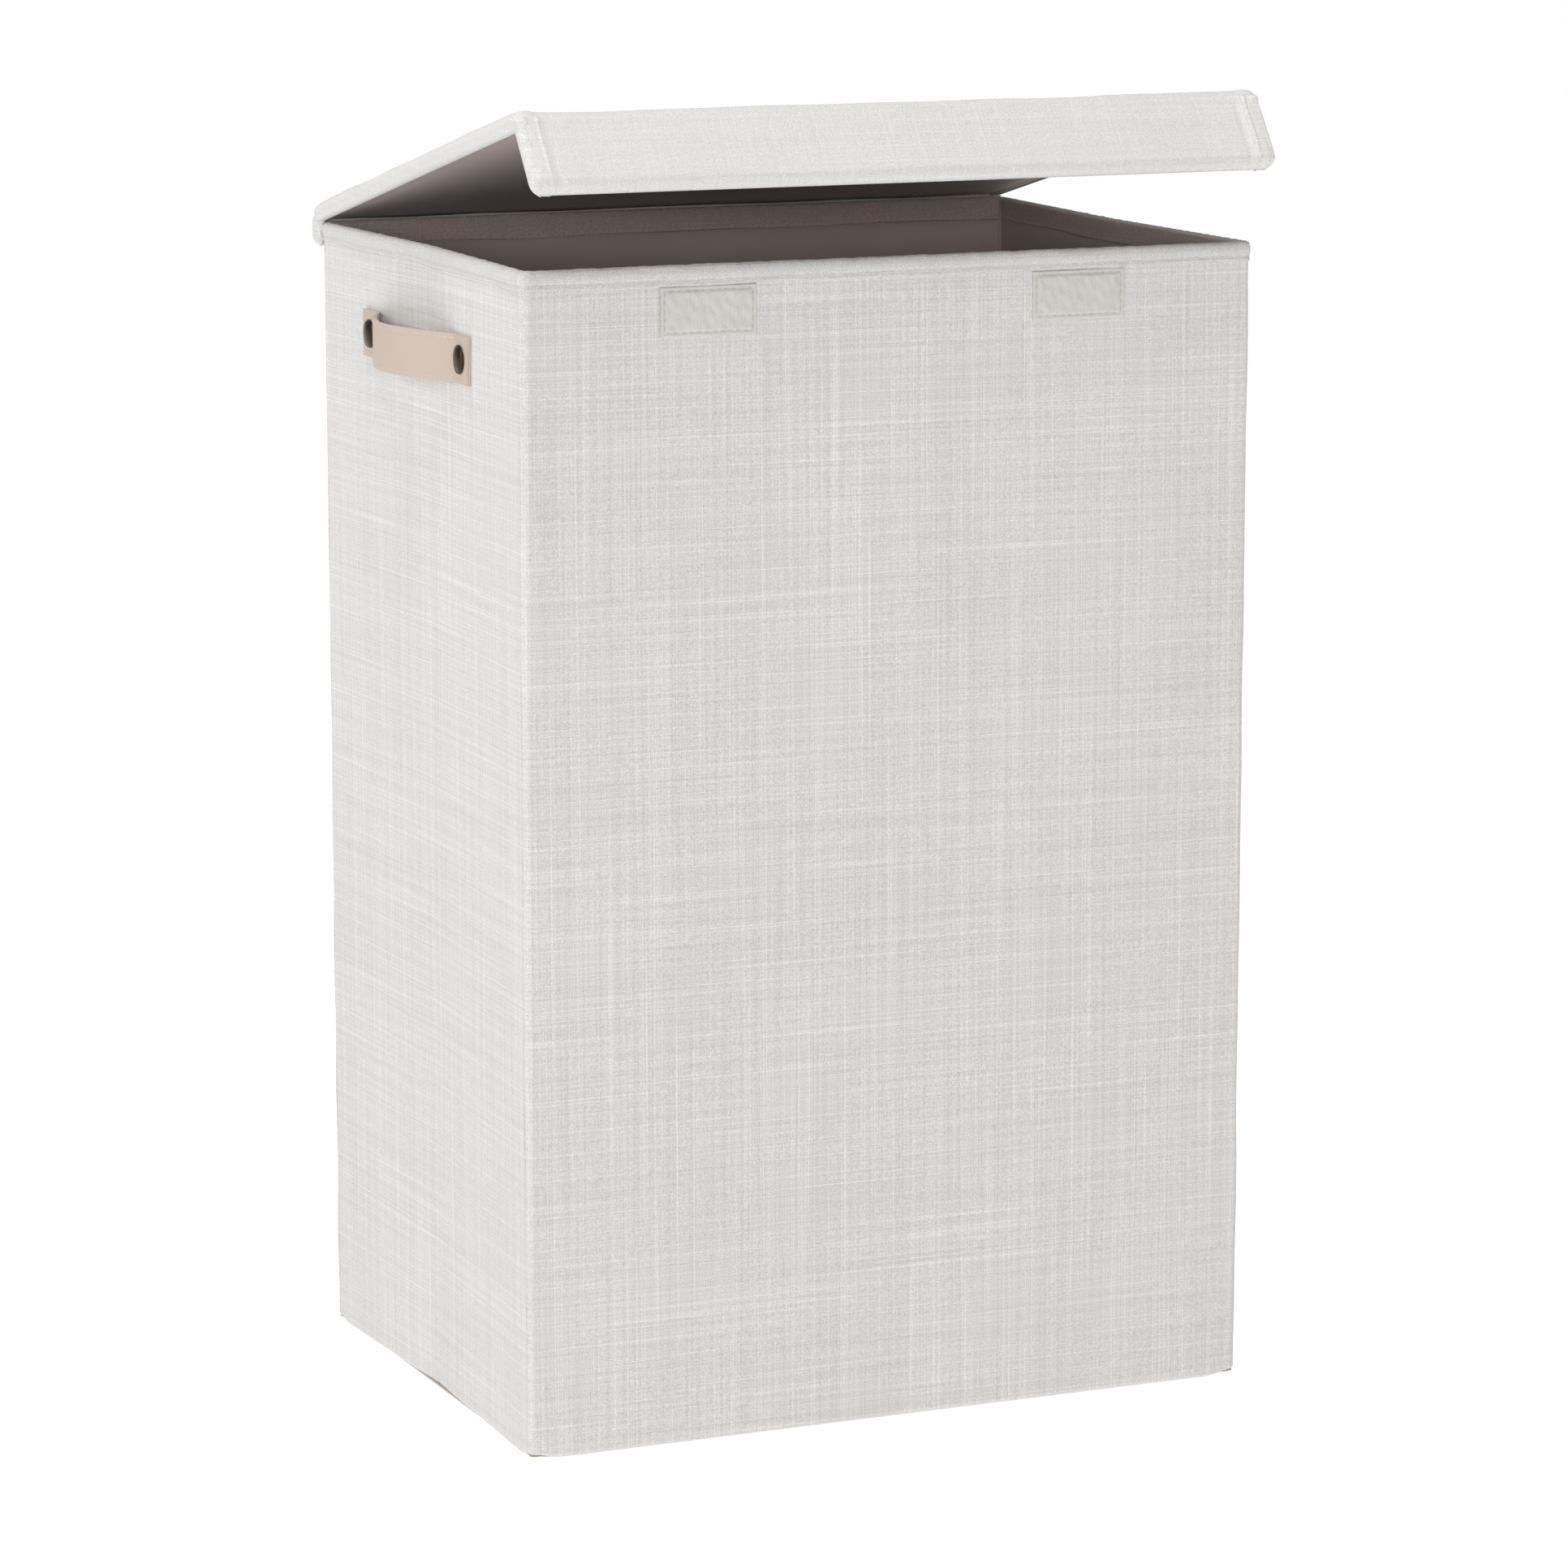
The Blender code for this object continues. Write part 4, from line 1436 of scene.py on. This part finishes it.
    def hinge_band(self) -> None:
        """The slack band of cover cloth that hangs from the lid's rear edge and curls in to the wall."""
        s = self.sizes
        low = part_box("lid_hinge_band")[0]
        half = s.half_width - 0.0012
        top = np.array(self.hinge) - self.ahead() * self.rear
        top = top + self.outward() * self.thickness * 0.45
        wall = s.half_depth
        curl = np.array(
            [
                (self.wall_puff, 0.0006),
                (0.0030, -0.0004),
                (0.0062, -0.0002),
                (0.0100, 0.0020),
                (0.0132, 0.0056),
                (0.0150, 0.0102),
                (0.0146, 0.0148),
            ]
        )
        lid_edge = np.array([(0.0026, 0.0010), (0.0004, 0.0024), (-0.0018, 0.0026)])
        fine = smooth_through(np.concatenate([curl + (wall, low.z), lid_edge + top[1:]]), 5)
        x = np.linspace(-half, half, 92)
        soft = 0.0005 * drift(x[:, None], np.arange(len(fine))[None] * 0.001, 66, 0.04)
        places = np.empty((len(x), len(fine), 3))
        places[..., 0] = x[:, None]
        places[..., 1] = fine[None, :, 0] + soft
        places[..., 2] = fine[None, :, 1] + 0.4 * soft
        band = cloth("lid_hinge_cloth", places[::-1], OFF_WHITE, s.cover)
        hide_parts("lid_hinge_band")
        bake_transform(band)

    def folded_end(self, hand: Hand) -> None:
        """The cloth folded in at one end of the hinge, as a small puckered roll."""
        s = self.sizes
        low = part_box("lid_hinge_band")[0]
        middle = np.array([hand.sign * (s.half_width - 0.0016), s.half_depth + 0.0095, low.z + 0.0085])
        around, along = np.linspace(0, 2 * pi, 40, endpoint=False), np.linspace(0.04, pi - 0.04, 22)
        turn, rise = around[None], along[:, None]
        folds = 0.10 * np.sin(5 * turn + 2 * np.cos(rise)) * np.sin(rise)
        pucker = 1 + folds + 0.05 * np.sin(9 * turn + 1)
        wide, deep, tall = 0.0034, 0.0068, 0.0092
        girth = np.sin(rise) ** 0.8 * pucker
        x, y, z = wide * np.cos(rise) + 0 * turn, deep * np.cos(turn), tall * np.sin(turn)
        places = np.stack([x, y * girth, z * girth], axis=-1)
        made = Weft()
        made.grid(middle + places[::-1], wrap=True, caps=True)
        roll = made.piece(f"{hand.value}_hinge_folded_end", OFF_WHITE)
        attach(roll, "lid")

    def build(self) -> None:
        """Makes the lid and its flap."""
        self.cover()
        self.plain_lining("lid", 0.0, -(self.rear + self.lid_length) + 0.003, -0.0002)
        self.plain_lining("flap", self.fold, 0.0002, self.flap_length - 0.0024)
        for hand in Hand:
            self.end_band(hand)
            self.hook_tape(hand)
            self.folded_end(hand)
        self.hinge_band()


def smooth_through(knots: np.ndarray, steps: int) -> np.ndarray:
    """A smooth line through points.

    Args:
        knots: The points, shaped (n, d).
        steps: How many steps there are from one to the next.

    Returns:
        The line's points.
    """
    padded = np.concatenate([[2 * knots[0] - knots[1]], knots, [2 * knots[-1] - knots[-2]]])
    share = np.arange(steps)[:, None] / steps
    line = []
    for a, b, c, d in zip(padded, padded[1:], padded[2:], padded[3:]):
        line.append(
            0.5 * (2 * b + (c - a) * share + (2 * a - 5 * b + 4 * c - d) * share**2)
            + 0.5 * (3 * b - a - 3 * c + d) * share**3
        )
    return np.concatenate([*line, knots[-1:]])


def flip_down(sheet: bpy.types.Object, only_grid: int = 0) -> None:
    """Turns a sheet over if its first faces don't face the ground, so that its seen side is below."""
    normal = sum((p.normal for p in list(sheet.data.polygons)[: only_grid or None]), Vector())
    if normal.z > 0:
        sheet.data.flip_normals()


# ---- patches and handles


@dataclass(frozen=True)
class LoopPatch:
    """A stitched patch of loop pile on the front wall."""

    hand: Hand
    puff: float = 0.0011
    hem: float = 0.0022
    stitching: Stitching = Stitching(pitch=0.0042, radius=0.00024)

    def build(self) -> None:
        """Makes the patch and its stitches."""
        node = f"{self.hand.value}_loop_patch"
        low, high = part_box(node)
        u, v = np.linspace(low.x, high.x, 106), np.linspace(low.z, high.z, 52)
        x, z = np.meshgrid(u, v, indexing="ij")
        rim = np.minimum.reduce([x - low.x, high.x - x, z - low.z, high.z - z])
        body = np.clip((rim - self.hem) / 0.0012, 0, 1)
        groove = bell(rim - self.hem, 0.0005)
        fuzz = 0.00022 * drift(x, z, 81, 0.006) + 0.0001 * drift(x, z, 82, 0.0016)
        flat_edge = 0.0006 * np.clip(rim / 0.0004, 0, 1)
        rise = 0.0002 + flat_edge + (self.puff - 0.0006) * body + fuzz * body - 0.0004 * groove
        x = x + 0.0002 * np.sin(z * 900) * (rim < 0.0003)
        surface = np.dstack([x, high.y - rise, z])
        patch = cloth(f"{self.hand.value}_loop_tape", surface, LOOP_PILE, 0.0004)
        sewn = Weft()
        left, right = low.x + self.hem, high.x - self.hem
        bottom, top = low.z + self.hem, high.z - self.hem
        corners = [(left, bottom), (right, bottom), (right, top), (left, top)]
        for start, end in zip(corners, corners[1:] + corners[:1]):
            share = np.linspace(0, 1, 12)[:, None]
            row = np.array(start) * (1 - share) + np.array(end) * share
            line = np.insert(row, 1, high.y - 0.0006, axis=1)
            self.stitching.sew(sewn, line, np.tile([0, -1.0, 0], (len(share), 1)))
        thread = sewn.piece(f"{self.hand.value}_loop_tape_stitches", PATCH_THREAD)
        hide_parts(node)
        for piece in (patch, thread):
            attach(piece, "front")


@dataclass(frozen=True)
class Handle:
    """A carrying strap of two leather layers on a pale core, with its four brass pieces."""

    hand: Hand
    sizes: BinSizes = SIZES
    bulge: float = 0.0195
    run: float = 0.058
    fullness: float = 1.7
    softness: float = 0.03
    clear_rear: float = 0.0095
    clear_front: float = 0.0105
    gap: float = 0.0003
    bend: float = 0.048
    thickness: float = 0.0022
    cap_radius: float = 0.0075
    cap_height: float = 0.0024
    stitching: Stitching = Stitching(pitch=0.0036, shown=0.72, radius=0.0002, rise=0.0001)

    @property
    def node(self) -> str:
        """The strap's node."""
        return f"{self.hand.value}_handle_strap"

    def rivet_y(self, half: str) -> float:
        """Where a rivet is, from the crease."""
        low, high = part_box(f"{self.hand.value}_{half}_washer")
        return (low.y + high.y) / 2

    def arched(self, distance: np.ndarray) -> np.ndarray:
        """How far the strap has risen, as a share, at a distance from where it leaves the wall."""
        share = distance / self.run
        share = (share + np.sqrt(share**2 + self.softness**2)) / 2
        return 1 - (1 - np.minimum(share, 1)) ** self.fullness

    def centre(self) -> tuple[np.ndarray, np.ndarray]:
        """The strap's back in plan, from its rear tab to its front one, and the directions out."""
        low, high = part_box(self.node)
        tab = np.linspace(0, -0.004, 5)
        y = between(tab, np.linspace(high.y - 0.007, low.y + 0.007, 70), high.y, low.y)
        rear, front = self.rivet_y("rear"), -self.rivet_y("front")
        from_rear, from_front = rear - self.clear_rear - y, y + front - self.clear_front
        lift = np.minimum(self.arched(from_rear), self.arched(from_front))
        stand = self.gap + self.bulge * lift
        lean = self.sizes.lean
        x = -self.sizes.crease_axis.x + np.abs(y) * tan(lean) + stand / cos(lean)
        line = np.stack([x * self.hand.sign, y], axis=1)
        ahead = unit(np.gradient(line, axis=0))
        out = np.stack([-ahead[:, 1], ahead[:, 0]], axis=1) * self.hand.sign
        return line, out

    def layer(
        self, part: str, share: tuple[float, float], inset: float, finish: Finish
    ) -> bpy.types.Object:
        """One layer of the strap, with rounded long edges.

        Args:
            part: Its name within the strap.
            share: Where its faces are, from 0 at the strap's back to 1 at its face.
            inset: How far its edges stop short of the strap's.
            finish: What it is made of.

        Returns:
            The layer.
        """
        line, out = self.centre()
        low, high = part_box(self.node)
        inner, outer = (self.thickness * end for end in share)
        bottom, top = low.z + inset, high.z - inset
        soft = min(0.0005, (outer - inner) * 0.45)
        arc = np.linspace(0, pi / 2, 4)
        corners = (
            (outer - soft, top - soft, arc),
            (inner + soft, top - soft, arc + pi / 2),
            (inner + soft, bottom + soft, arc + pi),
            (outer - soft, bottom + soft, arc + 3 * pi / 2),
        )
        ring = [(o + soft * cos(t), h + soft * sin(t)) for o, h, turns in corners for t in turns]
        offset, height = np.array(ring).T
        flat = line[:, None] + out[:, None] * offset[None, :, None]
        places = np.dstack([flat, np.broadcast_to(height, flat.shape[:2])])
        made = Weft()
        made.grid(places if self.hand is Hand.RIGHT else places[:, ::-1], wrap=True, caps=True)
        return made.piece(f"{self.hand.value}_strap_{part}", finish, sharp=50)

    def strap(self) -> None:
        """The strap's three layers and its edge stitching."""
        face = self.layer("face", (0.62, 1.0), 0.0, BEIGE_LEATHER)
        core = self.layer("core", (0.42, 0.56), 0.0001, STRAP_CORE)
        under = self.layer("back", (0.0, 0.36), 0.0001, BEIGE_LEATHER)
        line, out = (part[3:-3] for part in self.centre())
        low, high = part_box(self.node)
        sewn = Weft()
        ways = np.column_stack([out, np.zeros(len(out))])
        top = line + out * (self.thickness + 0.00002)
        for height in (low.z + 0.0022, high.z - 0.0022):
            self.stitching.sew(sewn, np.column_stack([top, np.full(len(line), height)]), ways)
        thread = sewn.piece(f"{self.hand.value}_strap_stitches", STRAP_THREAD)
        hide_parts(self.node)
        for piece in (face, core, under, thread):
            bend_at_crease(piece)

    def turned(self, name: str, half: str, profile: list[tuple[float, float]]) -> bpy.types.Object:
        """A turned brass piece on a rivet's axis.

        Args:
            name: Its name.
            half: Which half of the side wall it is on.
            profile: Radii and distances outside the wall, from the outer end to the inner one.

        Returns:
            The piece.
        """
        y = self.rivet_y(half)
        height = (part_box(self.node)[0].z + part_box(self.node)[1].z) / 2
        place = Vector((self.hand.sign * self.sizes.side_x(y), y, height))
        lean = self.sizes.lean
        out = np.array([self.hand.sign * cos(lean), sin(lean) * (-1 if y > 0 else 1), 0.0])
        across = np.array([-out[1], out[0], 0.0])
        up = np.array([0.0, 0.0, 1.0])
        sides = 48
        turn = np.arange(sides) * 2 * pi / sides
        ring = across * np.cos(turn)[:, None] + up * np.sin(turn)[:, None]
        rows = [np.array(place) + out * far + ring * radius for radius, far in profile]
        made = Weft()
        made.grid(np.array(rows)[:, ::-1], wrap=True, caps=True)
        piece = made.piece(name, BRASS, sharp=40)
        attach(piece, f"{self.hand.value}_{half}")
        return piece

    def brass(self, half: str) -> None:
        """One rivet with a domed cap, and its washer inside the wall."""
        name = f"{self.hand.value}_{half}"
        seat = 2 * self.gap + self.thickness
        rim, high = self.cap_radius, self.cap_height
        shares, shoulder = np.linspace(0.01, 1, 10), 0.0011
        dome = [(rim * 0.86 * r, seat + shoulder + (high - shoulder) * (1 - r * r)) for r in shares]
        lip = ((0.885, 0.00095), (0.915, 0.00105), (0.955, 0.0010), (0.99, 0.0007), (1.0, 0.0003))
        skirt = [(rim * share, seat + far) for share, far in lip]
        skirt += [(rim - 0.0003, seat), (0.0024, seat)]
        washer_low, washer_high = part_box(f"{name}_washer")
        inside = -(self.sizes.wall + self.gap)
        tail = [(0.0024, inside - 0.0010), (0.0042, inside - 0.0011), (0.0041, inside - 0.0019)]
        end = [(0.0034, inside - 0.0022), (0.0004, inside - 0.0023)]
        rivet = self.turned(f"{name}_domed_rivet", half, dome + skirt + tail + end)
        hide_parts(f"{name}_rivet")
        reach = (washer_high.z - washer_low.z) / 2
        ring = [(reach - 0.0002, inside), (reach, inside - 0.0002), (reach, inside - 0.0006)]
        ring += [(reach - 0.0004, inside - 0.0008), (0.0027, inside - 0.0008)]
        washer = self.turned(f"{name}_brass_washer", half, ring)
        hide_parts(f"{name}_washer")

    def build(self) -> None:
        """Makes the strap, the rivets and the washers."""
        self.strap()
        for half in ("rear", "front"):
            self.brass(half)


# ---- surroundings


@dataclass(frozen=True)
class Studio:
    """A pale floor, soft light and the camera."""

    azimuth: float = radians(-23.47)
    elevation: float = radians(10.49)
    distance: float = 3.2243
    aim: Vector = field(default_factory=lambda: Vector((0, 0, SIZES.height / 2)))
    shift: tuple[float, float] = (0.0027, 0.0075)
    lens: float = 137.57
    sensor: float = 36.0
    floor_size: float = 80.0
    floor_drop: float = 0.0004
    floor_tone: float = 0.42
    floor_glow: float = 0.87
    room_glow: float = 0.3

    def camera(self) -> None:
        """The camera, which looks down a little from the left."""
        a, e = self.azimuth, self.elevation
        back = Vector((sin(a) * cos(e), -cos(a) * cos(e), sin(e)))
        right = Vector((cos(a), sin(a), 0))
        up = back.cross(right)
        data = bpy.data.cameras.new("camera")
        data.lens, data.sensor_width = self.lens, self.sensor
        data.clip_end = 200.0
        camera = in_scene("camera", data)
        axes = Matrix((right, up, back)).transposed().to_4x4()
        place = self.aim + back * self.distance + right * self.shift[0] + up * self.shift[1]
        camera.matrix_world = Matrix.Translation(place) @ axes
        bpy.context.scene.camera = camera

    def floor(self) -> None:
        """A plain pale floor."""
        half = self.floor_size / 2
        mesh = bpy.data.meshes.new("floor")
        corners = [(-half, -half), (half, -half), (half, half), (-half, half)]
        mesh.from_pydata([(x, y, -self.floor_drop) for x, y in corners], [], [(0, 1, 2, 3)])
        floor = in_scene("floor", mesh)
        recipe = Recipe("pale_floor")
        grain = recipe.noise(recipe.spot, 30.0)
        recipe.finish(
            recipe.tint((self.floor_tone,) * 3, recipe.scaled(grain, 0.01, 0.995)),
            recipe.scaled(grain, 0.02, 0.9),
            recipe.bump(grain, 0.02, 0.001),
            Emission_Strength=self.floor_glow,
            Specular_IOR_Level=0.0,
        )
        recipe.shader.inputs["Emission Color"].default_value = (1, 1, 1, 1)
        mesh.materials.append(recipe.made)

    def lamp(
        self, name: str, place: tuple[float, float, float], size: tuple[float, float], power: float
    ) -> None:
        """One soft light that faces the bin.

        Args:
            name: Its name.
            place: Where it is.
            size: Its width and height.
            power: Its power in watts.
        """
        data = bpy.data.lights.new(name, "AREA")
        data.shape = "RECTANGLE"
        data.size, data.size_y, data.energy = *size, power
        lamp = in_scene(name, data)
        lamp.location = place
        lamp.rotation_euler = (self.aim - Vector(place)).to_track_quat("-Z", "Y").to_euler()

    def light(self) -> None:
        """Even light from all round, a soft key from the left, and softer ones in front and above."""
        world = bpy.data.worlds.new("white_room")
        world.use_nodes = True
        room = world.node_tree.nodes["Background"].inputs
        room["Color"].default_value, room["Strength"].default_value = (1, 1, 1, 1), self.room_glow
        bpy.context.scene.world = world
        self.lamp("side_key", (-3.2, 0.4, 1.5), (1.8, 1.8), 31.0)
        self.lamp("front_strip", (-1.35, -3.1, 1.0), (2.4, 0.36), 28.0)
        self.lamp("overhead", (-0.35, -0.45, 3.0), (1.5, 1.5), 45.0)
        bpy.context.scene.view_settings.view_transform = "Standard"

    def build(self) -> None:
        """Sets up the surroundings."""
        self.camera()
        self.floor()
        self.light()


def dress_boards() -> None:
    """Gives every board that stays in the model its greyboard finish."""
    for name, node in frame["nodes"].items():
        if name.endswith("_board") and not node.hide_render:
            node.data.materials.clear()
            node.data.materials.append(BOARD.material())


def main() -> None:
    """Builds every piece of the bin and its surroundings."""
    logging.basicConfig(level=logging.INFO, format="%(name)s: %(message)s")
    Studio().build()
    walls = WallCloth()
    walls.build_back()
    walls.build_sides()
    walls.build_front()
    EndBoards().build()
    FloorCloth().build()
    LidCloth().build()
    for hand in Hand:
        LoopPatch(hand).build()
        Handle(hand).build()
    dress_boards()


if __name__ == "__main__":
    main()
